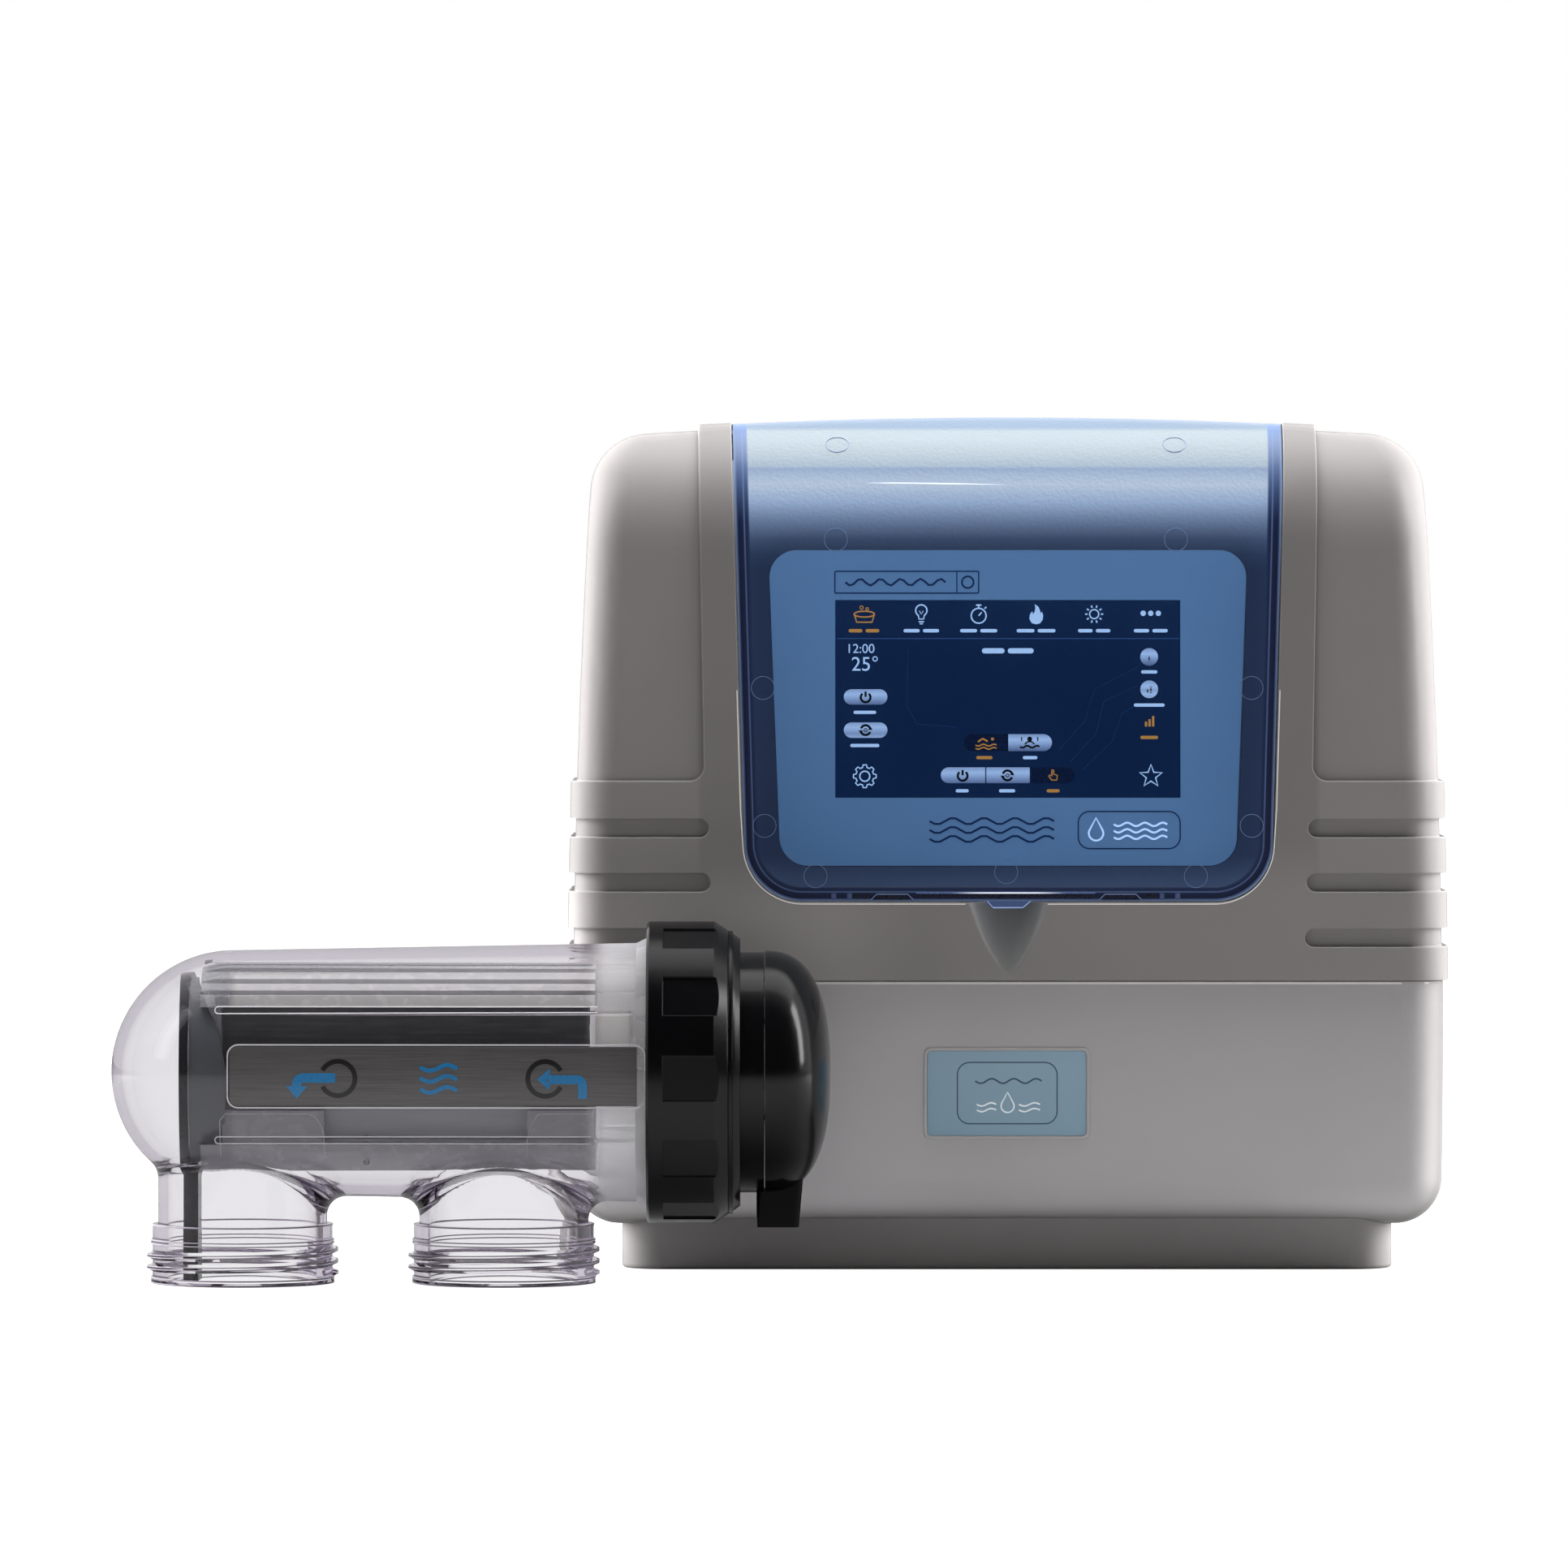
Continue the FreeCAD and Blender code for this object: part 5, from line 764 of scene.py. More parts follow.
d_face = 12.66
front = lambda lift: (on_upper(d_face - lift), on_upper(d_face))
m_silver, m_orange, m_rule = ink("ink_silver", (214, 224, 236), 0.35, 0.62), ink("ink_orange", (236, 150, 62), 0.35, 0.5), ink("ink_rule", (70, 96, 138), 0.4, 0.25)
m_button, m_ghost, m_darkicon = ink("ink_button", (158, 172, 196), 0.25, 0.4, 0.1), ink("ink_ghost", (30, 56, 96), 0.5, 0.3), ink("ink_dark", (4, 8, 20), 0.5)
m_btn_dark = ink("ink_button_dark", (24, 40, 72), 0.3, 0.06)
decal("screen_ghost_lines", PX(ghost), front(0.03), 0, m_ghost, "controller")
bt = Nodes("ink_button_sheen")
bz = bt.xyz()[2]
near = None
for yc in (856.0, 897.0, 953.0, 912.5, 806.0, 846.0):
    d = bt.math("ABSOLUTE", bt.math("SUBTRACT", bz, (1568.0 - yc) * 0.3235 * MM))
    near = d if near is None else bt.math("MINIMUM", near, d)
tone = bt.ramp(bt.remap(near, 0.0, 0.0046), [(0.0, lin((214, 220, 232))[:3]), (0.45, lin((168, 176, 196))[:3]), (1.0, lin((92, 102, 132))[:3])])
tone = bt.mix(0.06, tone, bt.ramp(bt.noise(900.0, 2.0), [(0.3, (0.2, 0.2, 0.25)), (0.7, (0.8, 0.8, 0.85))]))
m_sheen = bt.done(bt.principled(tone, 0.3, 0.0, None, emit=tone, emit_strength=0.55))
decal("screen_buttons", PX(button_m), front(0.05), 0, m_sheen, "controller")
decal("screen_buttons_dark", PX(button_dark), front(0.05), 0, m_btn_dark, "controller")
decal("screen_icons", PX(silver), front(0.09), 0, m_silver, "controller")
decal("screen_icons_orange", PX(orange), front(0.09), 0, m_orange, "controller")
decal("screen_icons_dark", PX(dark_icons), front(0.10), 0, m_darkicon, "controller")
decal("screen_rule", PX(rule), front(0.07), 0, m_rule, "controller")


def numerals(name, text, x, y, size, mat):
    """Plain digits on the screen, as a thin mesh."""
    cu = bpy.data.curves.new(name, "FONT")
    cu.body = text
    cu.size = size * MM
    cu.extrude = 0.00002
    o = bpy.data.objects.new(name, cu)
    scene.collection.objects.link(o)
    bpy.context.view_layer.update()
    me = bpy.data.meshes.new_from_object(o)
    bpy.data.objects.remove(o)
    o = bpy.data.objects.new(name, me)
    scene.collection.objects.link(o)
    w = [v.co.x for v in me.vertices]
    mid = (min(w) + max(w)) / 2
    u, v = px(x, y)
    p = on_upper(d_face - 0.08)(u, v)
    up, right, out = Vector((0, T[0], T[1])), Vector((1, 0, 0)), Vector((0, -NRM[0], -NRM[1]))
    for vert in me.vertices:
        c = vert.co
        vert.co = p + right * (c.x - mid) + up * c.y + out * c.z
    me.materials.clear()
    me.materials.append(mat)
    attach(o, "controller")
    return o


numerals("screen_time", "12:00", 1062, 805, 5.2, m_silver)
numerals("screen_temperature", "25°", 1066, 827, 8.0, m_silver)

# fascia print: a plain framed wave above the screen, thin waves and an outlined drop below it
m_navy = ink("ink_navy", (40, 66, 110), 0.45)
# painted light: the pale fascia ink glows (emission 0.75)
m_light = ink("ink_light", (232, 240, 250), 0.45, 0.75)
fas = lambda lift: (on_upper(12.58 - lift), on_upper(12.6))
frame_box = pill(1029, 1207, 704, 731, 1.5)[0]
navy_polys = outline(frame_box, 1.6) + waves(1042, 1166, 717.5, 4.2, 2.6, 5, 1) + stroke([(1180, 705), (1180, 730)], 1.4) + ring(1193.5, 717.5, 7.2, 2.2, 26)
navy_polys += waves(1146, 1300, 1013, 4.0, 2.6, 4, 3, 11.0)
decal("fascia_print_navy", PX(navy_polys), fas(0.03), 0, m_navy, "controller")
drop = [(1352, 1036.5)] + arc_points(1352, 1027.5, 9.0, 40, -220, 26)[::1] + [(1352, 1008.5)]
drop = [(1352 + 9.0 * math.cos(math.radians(a)), 1028 + 9.0 * math.sin(math.radians(a))) for a in range(-30, 211, 12)] + [(1352, 1009)]
light_polys = outline(drop, 2.2) + waves(1374, 1440, 1017, 2.2, 2.4, 3, 3, 8.0)
decal("fascia_print_frame", PX(outline(pill(1330, 1456, 1001, 1047, 14)[0], 1.6)), fas(0.03), 0, m_navy, "controller")
decal("fascia_print_light", PX(light_polys), fas(0.03), 0, m_light, "controller")

# badge print
# painted light: the pale badge ink glows (emission 0.28)
m_badge_dark, m_badge_light = ink("ink_badge_dark", (62, 92, 116), 0.35), ink("ink_badge_light", (236, 242, 246), 0.35, 0.28)
bad = lambda lift: (on_lower(2.08 - lift), on_lower(2.1))
shield = pill(1180, 1303, 1310, 1386, 15)[0]
decal("badge_print_dark", PX(outline(shield, 1.5) + waves(1202, 1284, 1333, 3.0, 2.0, 3, 1)), bad(0.03), 0, m_badge_dark, "controller")
bd = [(1242 + 8.0 * math.cos(math.radians(a)), 1364 + 8.0 * math.sin(math.radians(a))) for a in range(-30, 211, 12)] + [(1242, 1347)]
decal("badge_print_light", PX(outline(bd, 1.7) + waves(1204, 1228, 1362, 2.0, 1.8, 1, 2, 7.0) + waves(1256, 1282, 1362, 2.0, 1.8, 1, 2, 7.0)), bad(0.03), 0, m_badge_light, "controller")

# painted highlight: a pale line along the badge's edge
badge_edge = pill(1142.0, 1339.8, 1295.2, 1401.3, 6.0)[0]
decal("badge_edge_line", PX(outline(badge_edge, 1.1)), (on_lower(2.04), on_lower(2.1)), 0, ink("ink_edge", (196, 190, 190), 0.3), "controller")

# cell label print: flow out on the left, waves, flow in on the right


def cx(x, y):
    return -89.6 + (x - 966.0) * 0.3188, 82.6 + (1297.0 - y) * 0.3188


def CX(polys):
    return [[cx(*p) for p in poly] for poly in polys]


lab = lambda lift: (on_cell(0.43 + lift), on_cell(0.40))
m_blue, m_ringdark = ink("ink_flow_blue", (20, 124, 184), 0.3), ink("ink_flow_dark", (24, 23, 24), 0.35)
dark_rings = stroke(arc_points(422, 1298, 21.0, 207.8, 512.2, 44), 5.9) + stroke(arc_points(675, 1298.4, 21.2, 27.8, 332.2, 44), 5.9)
blue = stroke([(419, 1297.4), (406, 1297.4), (393, 1297.4), (380, 1297.4), (375.5, 1298.4), (372.7, 1301.2), (371.8, 1305), (371.8, 1309)], 11.6)
blue += [[(358.9, 1307.5), (384.7, 1307.5), (371.8, 1322.8)]]
blue += stroke([(720.4, 1322.9), (720.4, 1313), (720.4, 1306), (719.6, 1302.4), (716.8, 1299.8), (713, 1299.2), (700, 1299.2), (689, 1299.2), (679, 1299.2)], 10.9)
blue += [[(680.5, 1286), (680.5, 1312), (664.8, 1299)]]
for k in range(3):
    y = 1285.0 + 13.4 * k
    blue += stroke([(524 + 2.0 * i, y + 3.5 * math.sin(2 * math.pi * i / 21)) for i in range(22)], 5.0) + disc(524, y, 2.5, 12) + disc(566, y, 2.5, 12)
# painted highlight: a thin pale line along the label's rim stands for the light the rim catches
frame_line = pill(-306.0, -143.6, 82.6 - 11.8, 82.6 + 12.7, 4.2)[0]
dense = []
for i, p in enumerate(frame_line):
    q = frame_line[(i + 1) % len(frame_line)]
    steps = max(1, int(math.dist(p, q) / 6.0))
    dense += [(p[0] + (q[0] - p[0]) * k / steps, p[1] + (q[1] - p[1]) * k / steps) for k in range(steps)]
decal("label_rim_line", outline(dense, 0.55), (on_cell(0.96), on_cell(0.90)), 0, ink("ink_rim", (214, 210, 216), 0.2), "cell")
decal("label_print_dark", CX(dark_rings), lab(0.03), 0, m_ringdark, "cell")
decal("label_print_blue", CX(blue), lab(0.06), 0, m_blue, "cell")


# ------------------------------------------------------------------ edges and rods seen inside the cell


def on_pack(lift):
    """Maps (x, height) to a round surface just over the plate carriers."""
    def f(u, v):
        r, z = 43.3 + lift, v - 82.6
        return Vector((u * MM, (-138.0 - math.sqrt(max(1.0, r * r - z * z))) * MM, v * MM))
    return f


pack = (on_pack(0.10), on_pack(0.0))


def dense_line(points, step=5.0):
    out = []
    for a, b in zip(points, points[1:]):
        k = max(1, int(math.dist(a, b) / step))
        out += [(a[0] + (b[0] - a[0]) * i / k, a[1] + (b[1] - a[1]) * i / k) for i in range(k)]
    return out + [points[-1]]


# painted highlight: the carriers' clear rods are drawn as pale lines that glow a little; the block outline lines also
# glow faintly, as painted light
m_rod, m_fine = ink("ink_rod", (206, 204, 204), 0.2, 0.12), ink("ink_fine", (156, 156, 162), 0.25, 0.05)
rod_top = dense_line([(738, 1214.5)] + [(275.0 + 4.2 * math.cos(math.radians(a)), 1218.7 + 4.2 * math.sin(math.radians(a))) for a in range(270, 89, -20)] + [(738, 1222.9)])
rod_low = dense_line([(730, 1368.5)] + [(275.0 + 4.2 * math.cos(math.radians(a)), 1372.7 + 4.2 * math.sin(math.radians(a))) for a in range(270, 89, -20)] + [(730, 1377.5)])
decal("carrier_rod_lines", CX(stroke(rod_top, 1.3) + stroke(rod_low, 1.2)), pack, 0, m_rod, "cartridge")
block_a = dense_line([(277, 1392), (277, 1349), (284, 1341), (384, 1341), (394, 1345), (401, 1356), (404, 1368), (404, 1392)])
block_b = dense_line([(652, 1394), (652, 1372), (657, 1354), (666, 1341), (731, 1341)])
decal("carrier_top_line", CX(stroke(dense_line([(256, 1166.5), (732, 1166.5)]), 2.4)), pack, 0, ink("ink_pack_edge", (78, 76, 84), 0.3), "cartridge")
decal("carrier_block_lines", CX(stroke(block_a, 0.9) + stroke(block_b, 0.9)), pack, 0, m_fine, "cartridge")

# ------------------------------------------------------------------ fine rims on the two ports


def coil(bm, x, z, radius, tube, pitch=0.0, turns=1.0, k=6):
    """A fine round line about a port: a closed hoop, or with a pitch the crest of the thread."""
    n = int(120 * turns)
    rows = []
    for i in range(n + (1 if pitch else 0)):
        a = 2 * math.pi * turns * i / n
        row = []
        for j in range(k):
            b = 2 * math.pi * j / k
            r = radius + tube * math.cos(b)
            row.append(bm.verts.new(Vector(((x + r * math.cos(a)) * MM, (-138.0 + r * math.sin(a)) * MM, (z + pitch * a / (2 * math.pi) + tube * math.sin(b)) * MM))))
        rows.append(row)
    for i in range(n):
        nxt = rows[i + 1] if pitch else rows[(i + 1) % n]
        for j in range(k):
            bm.faces.new([rows[i][j], nxt[j], nxt[(j + 1) % k], rows[i][(j + 1) % k]])
    if pitch:
        bm.faces.new(rows[0])
        bm.faces.new(list(reversed(rows[-1])))


bm = bmesh.new()
for port_x in (-302.4, -199.7):
    coil(bm, port_x, 22.95, 35.4, 0.34)
    coil(bm, port_x, 17.1, 35.95, 0.26)
    coil(bm, port_x, 15.7, 35.95, 0.26)
    coil(bm, port_x, 2.3, 35.95, 0.30)
    coil(bm, port_x, 0.35, 35.75, 0.34)
    coil(bm, port_x, 3.9 + 0.5, 37.5, 0.22, 4.6, 9.6 / 4.6)
    coil(bm, port_x, 3.9 - 0.5, 37.5, 0.22, 4.6, 9.6 / 4.6)
me = bpy.data.meshes.new("port_rim_lines")
bmesh.ops.recalc_face_normals(bm, faces=bm.faces)
bm.to_mesh(me)
bm.free()
me.materials.append(ink("ink_port_rim", (158, 150, 163), 0.3))
rims = bpy.data.objects.new("port_rim_lines", me)
scene.collection.objects.link(rims)
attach(rims, "cell")

# ------------------------------------------------------------------ curved dark end shade on the electrode pack
SHADE = [(-34.0, -319.5), (-30.0, -309.5), (-20.0, -308.0), (0.0, -306.5), (16.6, -310.0), (26.0, -314.5), (37.0, -318.8)]


def shade_edge(up):
    for (u0, x0), (u1, x1) in zip(SHADE, SHADE[1:]):
        if up <= u1:
            return x0 + (x1 - x0) * max(0.0, (up - u0) / (u1 - u0))
    return SHADE[-1][1]


bm = bmesh.new()
rows = []
for i in range(65):
    up = -34.0 + 71.0 * i / 64
    row = []
    for radius in (38.3, 37.5):
        for x in (-321.2, shade_edge(up)):
            row.append(bm.verts.new(Vector((x * MM, (-138.0 - math.sqrt(radius * radius - up * up)) * MM, (82.6 + up) * MM))))
    rows.append(row)
for lo, hi in zip(rows, rows[1:]):
    for p, q in ((0, 1), (1, 3), (3, 2), (2, 0)):
        bm.faces.new([lo[p], lo[q], hi[q], hi[p]])
for row in (rows[0], rows[-1]):
    bm.faces.new([row[0], row[1], row[3], row[2]])
me = bpy.data.meshes.new("pack_end_shade")
bmesh.ops.recalc_face_normals(bm, faces=bm.faces)
bm.to_mesh(me)
bm.free()
me.materials.append(ink("ink_baffle_shade", (70, 73, 79), 0.35))
shade_piece = bpy.data.objects.new("pack_end_shade", me)
scene.collection.objects.link(shade_piece)
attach(shade_piece, "cartridge")

# ------------------------------------------------------------------ moulding marks on the lid
def brow_point(zz, inset):
    """Point and outward normal on the lid's outer face at height zz (mm)."""
    fs, zh, R = -61.5, 290.0, 58.0
    if zz <= zh:
        f = on_upper(inset)
        return f(0, zz), f.normal
    ca = (fs + NRM[0] * R, zh + NRM[1] * R)
    r = R - inset
    dz = zz - ca[1]
    y = ca[0] - math.sqrt(max(0.0, r * r - dz * dz))
    n = Vector((0, y - ca[0], dz)).normalized()
    return Vector((0, y * MM, zz * MM)), n


def thin_ring(bm, centre, normal, radius, tube, n=40, k=6):
    q = Vector((0, 0, 1)).rotation_difference(normal)
    rows = []
    for i in range(n):
        a = 2 * math.pi * i / n
        row = []
        for j in range(k):
            b = 2 * math.pi * j / k
            p = Vector(((radius + tube * math.cos(b)) * math.cos(a), (radius + tube * math.cos(b)) * math.sin(a), tube * math.sin(b)))
            row.append(bm.verts.new(centre + q @ p))
        rows.append(row)
    for i in range(n):
        for j in range(k):
            bm.faces.new([rows[i][j], rows[(i + 1) % n][j], rows[(i + 1) % n][(j + 1) % k], rows[i][(j + 1) % k]])


bm = bmesh.new()
for x, y in ((1032, 547), (1450, 547), (1030, 665), (1450, 665), (940, 848), (1543, 848), (942, 1018), (1543, 1018), (1005, 1080), (1240, 1075), (1474, 1080)):
    u, v = px(x, y)
    c, n = brow_point(v, 0.42)
    c.x = u * MM
    thin_ring(bm, c, n, 0.0046, 0.00011)
me = bpy.data.meshes.new("lid_mould_marks")
bm.to_mesh(me)
bm.free()
for p in me.polygons:
    p.use_smooth = True
marks = bpy.data.objects.new("lid_mould_marks", me)
scene.collection.objects.link(marks)
me.materials.append(ink("mark_blue", (108, 138, 184), 0.3))
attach(marks, "lid")


# painted highlights and shade on the lid's foot, the cover's opening, the lower cover's seam and the lid's top follow
def on_mesh(node, lift):
    """Maps (x, height) to the front of a node's own surface, lifted a little towards the viewer."""
    obj = NODES[node]
    verts = [obj.matrix_world @ v.co for v in obj.data.vertices]
    tree = BVHTree.FromPolygons(verts, [tuple(p.vertices) for p in obj.data.polygons])

    def f(u, v):
        hit = tree.ray_cast(Vector((u * MM, -1.0, v * MM)), Vector((0, 1, 0)))[0]
        if hit is None:
            hit = tree.find_nearest(Vector((u * MM, -0.075, v * MM)))[0]
        return hit + Vector((0, -lift * MM, 0))
    return f


def glow_ink(name, centre, rim, near, far):
    """A painted highlight line that glows a little and is brightest at the middle of the lid."""
    m = Nodes(name)
    x = m.math("ABSOLUTE", m.xyz()[0])
    fine = m.noise(900.0, 2.0)
    c = m.mix(m.remap(x, near, far, 0.0, 1.0, smooth=True), lin(centre), lin(rim))
    return m.done(m.principled(c, m.remap(fine, 0.3, 0.7, 0.22, 0.3), 0.0, None, emit=c, emit_strength=0.45))


lid_front = (on_mesh("lid", 0.06), on_mesh("lid", -0.05))
m_lid_dark, m_lid_line = ink("ink_lid_dark", (22, 24, 48), 0.3), ink("ink_lid_line", (118, 136, 178), 0.25, 0.15)


def box(x0, x1, y0, y1):
    n = max(1, int((x1 - x0) / 12.0))
    return [[(x0 + (x1 - x0) * i / n, y0), (x0 + (x1 - x0) * (i + 1) / n, y0), (x0 + (x1 - x0) * (i + 1) / n, y1), (x0 + (x1 - x0) * i / n, y1)] for i in range(n)]


# painted shade and highlights at the lid's foot: the dark foot boxes and clip shapes are painted shade; the pale clip
# outlines, the tab line and the foot line are painted highlights that glow a little; the clip squares glow faintly
clips = []
for x0, x1 in ((1073.5, 1125.5), (1355.0, 1407.0)):
    clips.append([(x0, 1109.0), (x0 + 6.8, 1102.2), (x1 - 6.8, 1102.2), (x1, 1109.0)])
decal("lid_foot_dark", PX(box(1129, 1350, 1101.6, 1107.6) + box(1052, 1073, 1101.6, 1107.6) + box(1407, 1428, 1101.6, 1107.6) + clips), lid_front, 0, m_lid_dark, "lid")
above = (on_mesh("lid", 0.10), on_mesh("lid", 0.03))
squares = box(1024.5, 1030.5, 1101.0, 1107.6) + box(1043.8, 1050.0, 1101.0, 1107.6) + box(1429.5, 1435.0, 1101.0, 1107.6) + box(1448.4, 1454.6, 1101.0, 1107.6)
tab = [(1216.8, 1110.8), (1223.6, 1118.6), (1260.6, 1118.6), (1270.0, 1110.8)]
decal("lid_clip_lines", PX(stroke(clips[0], 1.3) + stroke(clips[1], 1.3)), above, 0, m_lid_line, "lid")
decal("lid_tab_line", PX(stroke(tab, 1.2)), above, 0, ink("ink_tab_line", (168, 190, 232), 0.25, 0.25), "lid")
decal("lid_clip_squares", PX(squares), above, 0, ink("ink_lid_square", (72, 88, 128), 0.3, 0.1), "lid")
decal("lid_foot_line", PX(box(1129, 1350, 1099.8, 1101.6)), above, 0, glow_ink("ink_foot_glow", (232, 240, 252), (78, 98, 142), 0.009, 0.024), "lid")
# painted highlight: a pale line that glows a little along the edge of the cover's opening around the lid
opening = [(-105.9 + 0.0298 * (230.0 - 148.0), 230.0)] + [(-105.9, 169.5)] + [(-82.0 + 24.0 * math.cos(math.radians(a)), 170.7 + 24.0 * math.sin(math.radians(a))) for a in range(183, 271, 6)]
opening = [(-105.9 + (-0.0298) * (z - 148.0), z) for z in (232.0, 215.0, 200.0, 185.0)] + opening[2:]
left_run = dense_line(opening + [(-17.2, 146.7)], 9.0)
right_run = dense_line([(15.6, 146.7)] + [(-x, z) for x, z in reversed(opening)], 9.0)
m_lip = ink("ink_lip", (232, 228, 222), 0.3, 0.16)
decal("cover_opening_lip", stroke(left_run, 0.42) + stroke(right_run, 0.42), (on_upper(-0.06), on_upper(0.02)), 0, m_lip, "controller")
# painted highlight: a pale line that glows a little along the lower cover's top lip at the seam
seam = []
for k in range(36):
    a, b = 700.0 + 30.2 * k, 700.0 + 30.2 * (k + 1)
    seam.append([(a, 1210.9), (b, 1210.9), (b, 1213.3), (a, 1213.3)])
decal("lower_cover_seam_highlight", PX(seam), (on_mesh("lower_front_cover", 0.10), on_mesh("lower_front_cover", -0.08)), 0, ink("ink_seam_highlight", (214, 210, 208), 0.3, 0.14), "controller")
# painted highlight: a pale glowing streak across the lid's top
decal("lid_top_streak", PX([[(1064, 594.6), (1105, 594.2), (1150, 594.6), (1200, 595.6), (1246, 597.2), (1200, 596.8), (1150, 596.2), (1105, 595.6)]]), lid_front, 0, ink("ink_streak", (226, 236, 246), 0.2, 0.45), "lid")


# ------------------------------------------------------------------ floor, light, camera
bm = bmesh.new()
prof = [(-9.0, 0.0), (-4.0, 0.0), (0.0, 0.0), (2.4, 0.0), (9.0, 0.0)]
rows = [[bm.verts.new((x, yy, zz)) for x in (-9.0, 0.0, 9.0)] for yy, zz in prof]
for i in range(len(rows) - 1):
    for j in range(2):
        bm.faces.new([rows[i][j], rows[i][j + 1], rows[i + 1][j + 1], rows[i + 1][j]])
me = bpy.data.meshes.new("studio_floor")
bm.to_mesh(me)
bm.free()
for p in me.polygons:
    p.use_smooth = True
floor = bpy.data.objects.new("studio_floor", me)
scene.collection.objects.link(floor)
m = Nodes("studio_white")
fine = m.noise(3.0, 2.0)
tone = m.ramp(fine, [(0.0, (0.30, 0.30, 0.30)), (1.0, (0.32, 0.32, 0.32))])
lit = m.principled(tone, 0.75, 0.0, None, spec=0.1)
glow = m.add("ShaderNodeEmission")
m.put(glow.inputs["Color"], (1, 1, 1, 1))
m.put(glow.inputs["Strength"], 0.92)
path = m.add("ShaderNodeLightPath")
addn = m.add("ShaderNodeAddShader")
m.nt.links.new(lit, addn.inputs[0])
m.nt.links.new(glow.outputs[0], addn.inputs[1])
mixn = m.add("ShaderNodeMixShader")
m.put(mixn.inputs[0], m.math("MAXIMUM", path.outputs["Is Camera Ray"], path.outputs["Is Transmission Ray"]))
m.nt.links.new(lit, mixn.inputs[1])
m.nt.links.new(addn.outputs[0], mixn.inputs[2])
plain = m.add("ShaderNodeEmission")
m.put(plain.inputs["Color"], (1, 1, 1, 1))
m.put(plain.inputs["Strength"], 0.98)
mixt = m.add("ShaderNodeMixShader")
m.put(mixt.inputs[0], path.outputs["Is Transmission Ray"])
m.nt.links.new(mixn.outputs[0], mixt.inputs[1])
m.nt.links.new(plain.outputs[0], mixt.inputs[2])
me.materials.append(m.done(mixt.outputs[0]))

world = bpy.data.worlds.new("studio_world")
scene.world = world
world.use_nodes = True
nt = world.node_tree
nt.nodes.clear()
wo = nt.nodes.new("ShaderNodeOutputWorld")
bg = nt.nodes.new("ShaderNodeBackground")
bg.inputs["Color"].default_value = (1, 1, 1, 1)
bg2 = nt.nodes.new("ShaderNodeBackground")
bg2.inputs["Color"].default_value = (1, 1, 1, 1)
bg2.inputs["Strength"].default_value = 1.0
tc = nt.nodes.new("ShaderNodeTexCoord")
sep = nt.nodes.new("ShaderNodeSeparateXYZ")
nt.links.new(tc.outputs["Generated"], sep.inputs[0])
mr = nt.nodes.new("ShaderNodeMapRange")
mr.clamp = True
mr.interpolation_type = "SMOOTHSTEP"
nt.links.new(sep.outputs["Y"], mr.inputs["Value"])
mr.inputs["From Min"].default_value = -0.45
mr.inputs["From Max"].default_value = 0.35
mr.inputs["To Min"].default_value = 0.03
mr.inputs["To Max"].default_value = 1.05
lp = nt.nodes.new("ShaderNodeLightPath")
mr2 = nt.nodes.new("ShaderNodeMapRange")
mr2.clamp = True
mr2.interpolation_type = "SMOOTHSTEP"
nt.links.new(sep.outputs["Y"], mr2.inputs["Value"])
mr2.inputs["From Min"].default_value = -0.8
mr2.inputs["From Max"].default_value = 0.25
mr2.inputs["To Min"].default_value = 0.42
mr2.inputs["To Max"].default_value = 1.0
pick = nt.nodes.new("ShaderNodeMix")
nt.links.new(lp.outputs["Is Transmission Ray"], pick.inputs["Factor"])
nt.links.new(mr.outputs["Result"], pick.inputs[2])
nt.links.new(mr2.outputs["Result"], pick.inputs[3])
nt.links.new(pick.outputs[0], bg.inputs["Strength"])
mx = nt.nodes.new("ShaderNodeMixShader")
nt.links.new(lp.outputs["Is Camera Ray"], mx.inputs[0])
nt.links.new(bg.outputs[0], mx.inputs[1])
nt.links.new(bg2.outputs[0], mx.inputs[2])
nt.links.new(mx.outputs[0], wo.inputs["Surface"])


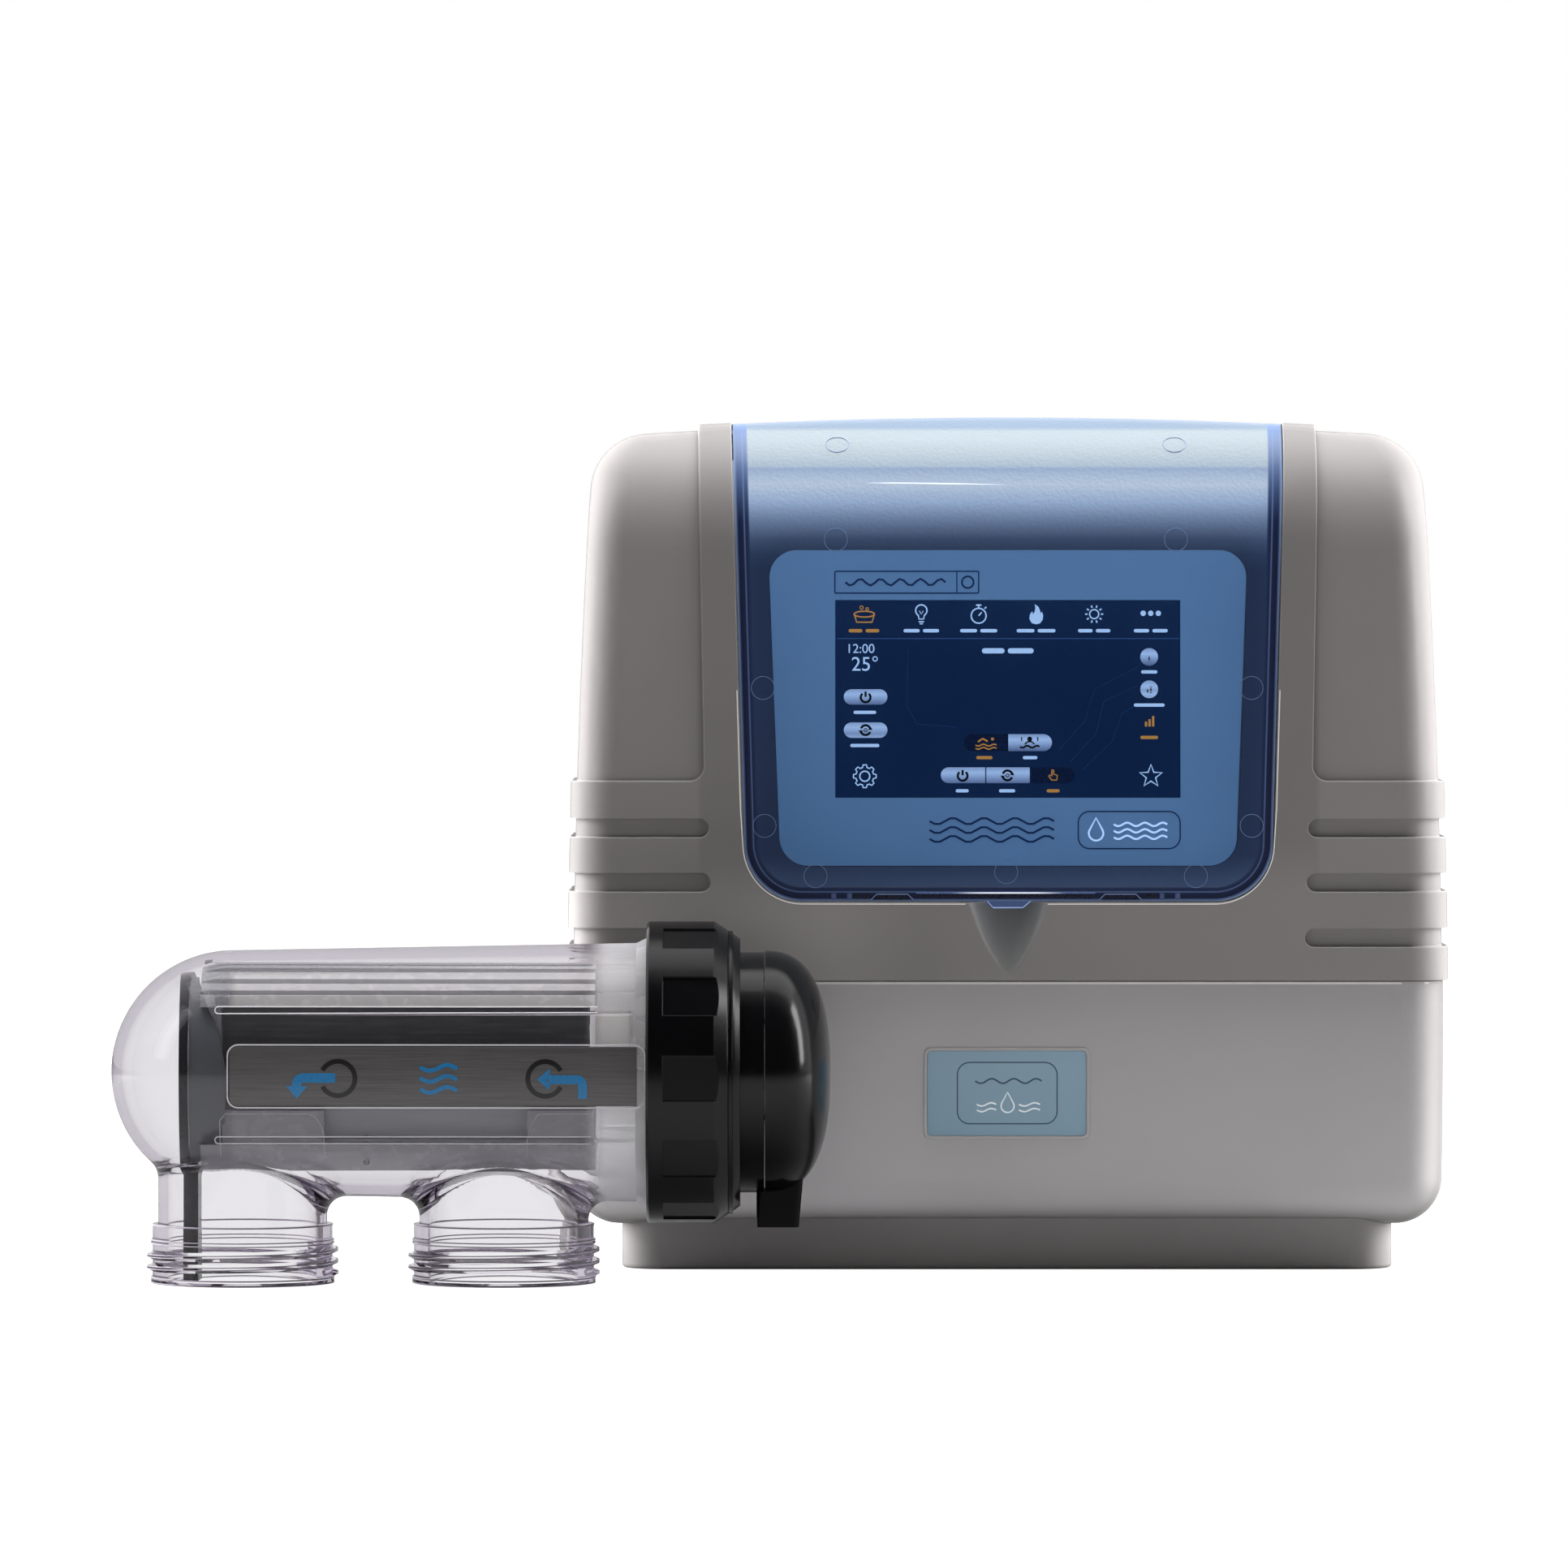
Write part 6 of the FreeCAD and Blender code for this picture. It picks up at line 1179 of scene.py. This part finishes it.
def softbox(name, at, look, sx, sy, power, spread=math.pi):
    li = bpy.data.lights.new(name, "AREA")
    li.shape = "RECTANGLE"
    li.size, li.size_y, li.energy, li.spread = sx, sy, power, spread
    o = bpy.data.objects.new(name, li)
    scene.collection.objects.link(o)
    o.location = at
    o.rotation_euler = (Vector(look) - Vector(at)).to_track_quat("-Z", "Y").to_euler()
    o.visible_camera = False
    return o


def lamp(kind, *args):
    o = softbox(*args)
    if kind == "shade":
        o.visible_glossy = False
        o.visible_transmission = False
    elif kind == "gloss":
        o.visible_diffuse = False
    return o


lamp("shade", "top_box", (0.0, 0.12, 1.7), (0.0, 0.0, 0.3), 2.4, 1.0, 68.0)
lamp("shade", "left_strip", (-1.7, 0.62, 0.5), (0.0, 0.0, 0.2), 0.9, 1.3, 105.0)
lamp("shade", "right_strip", (1.7, 0.62, 0.5), (0.0, 0.0, 0.2), 0.9, 1.3, 105.0)
lamp("shade", "front_fill", (-0.3, -3.4, 0.9), (-0.05, 0.0, 0.16), 3.0, 1.6, 9.0)
lamp("gloss", "top_shine", (0.0, 0.1, 1.5), (0.0, 0.0, 0.2), 2.2, 0.7, 4.2)
lamp("gloss", "left_shine", (-1.5, -0.5, 0.9), (-0.1, -0.1, 0.15), 0.35, 1.2, 2.4)
lamp("gloss", "right_shine", (1.45, -0.25, 0.86), (0.0, -0.1, 0.15), 0.34, 1.35, 13.5)

cam_data = bpy.data.cameras.new("camera")
cam = bpy.data.objects.new("camera", cam_data)
scene.collection.objects.link(cam)
cam.location = (-0.0896, -4.572, 0.275)
cam.rotation_euler = (Vector((-0.0896, -0.072, 0.1947)) - cam.location).to_track_quat("-Z", "Y").to_euler()
cam_data.sensor_width = 36.0
cam_data.lens = 259.2
cam_data.clip_end = 60.0
scene.camera = cam
scene.view_settings.view_transform = "Standard"
scene.view_settings.look = "None"
scene.view_settings.exposure = 0.0
scene.view_settings.gamma = 1.0
scene.cycles.use_denoising = True
scene.cycles.max_bounces = 24
scene.cycles.transmission_bounces = 16
scene.cycles.transparent_max_bounces = 24
scene.cycles.glossy_bounces = 6
scene.cycles.diffuse_bounces = 4
scene.cycles.caustics_refractive = True
scene.cycles.blur_glossy = 0.5
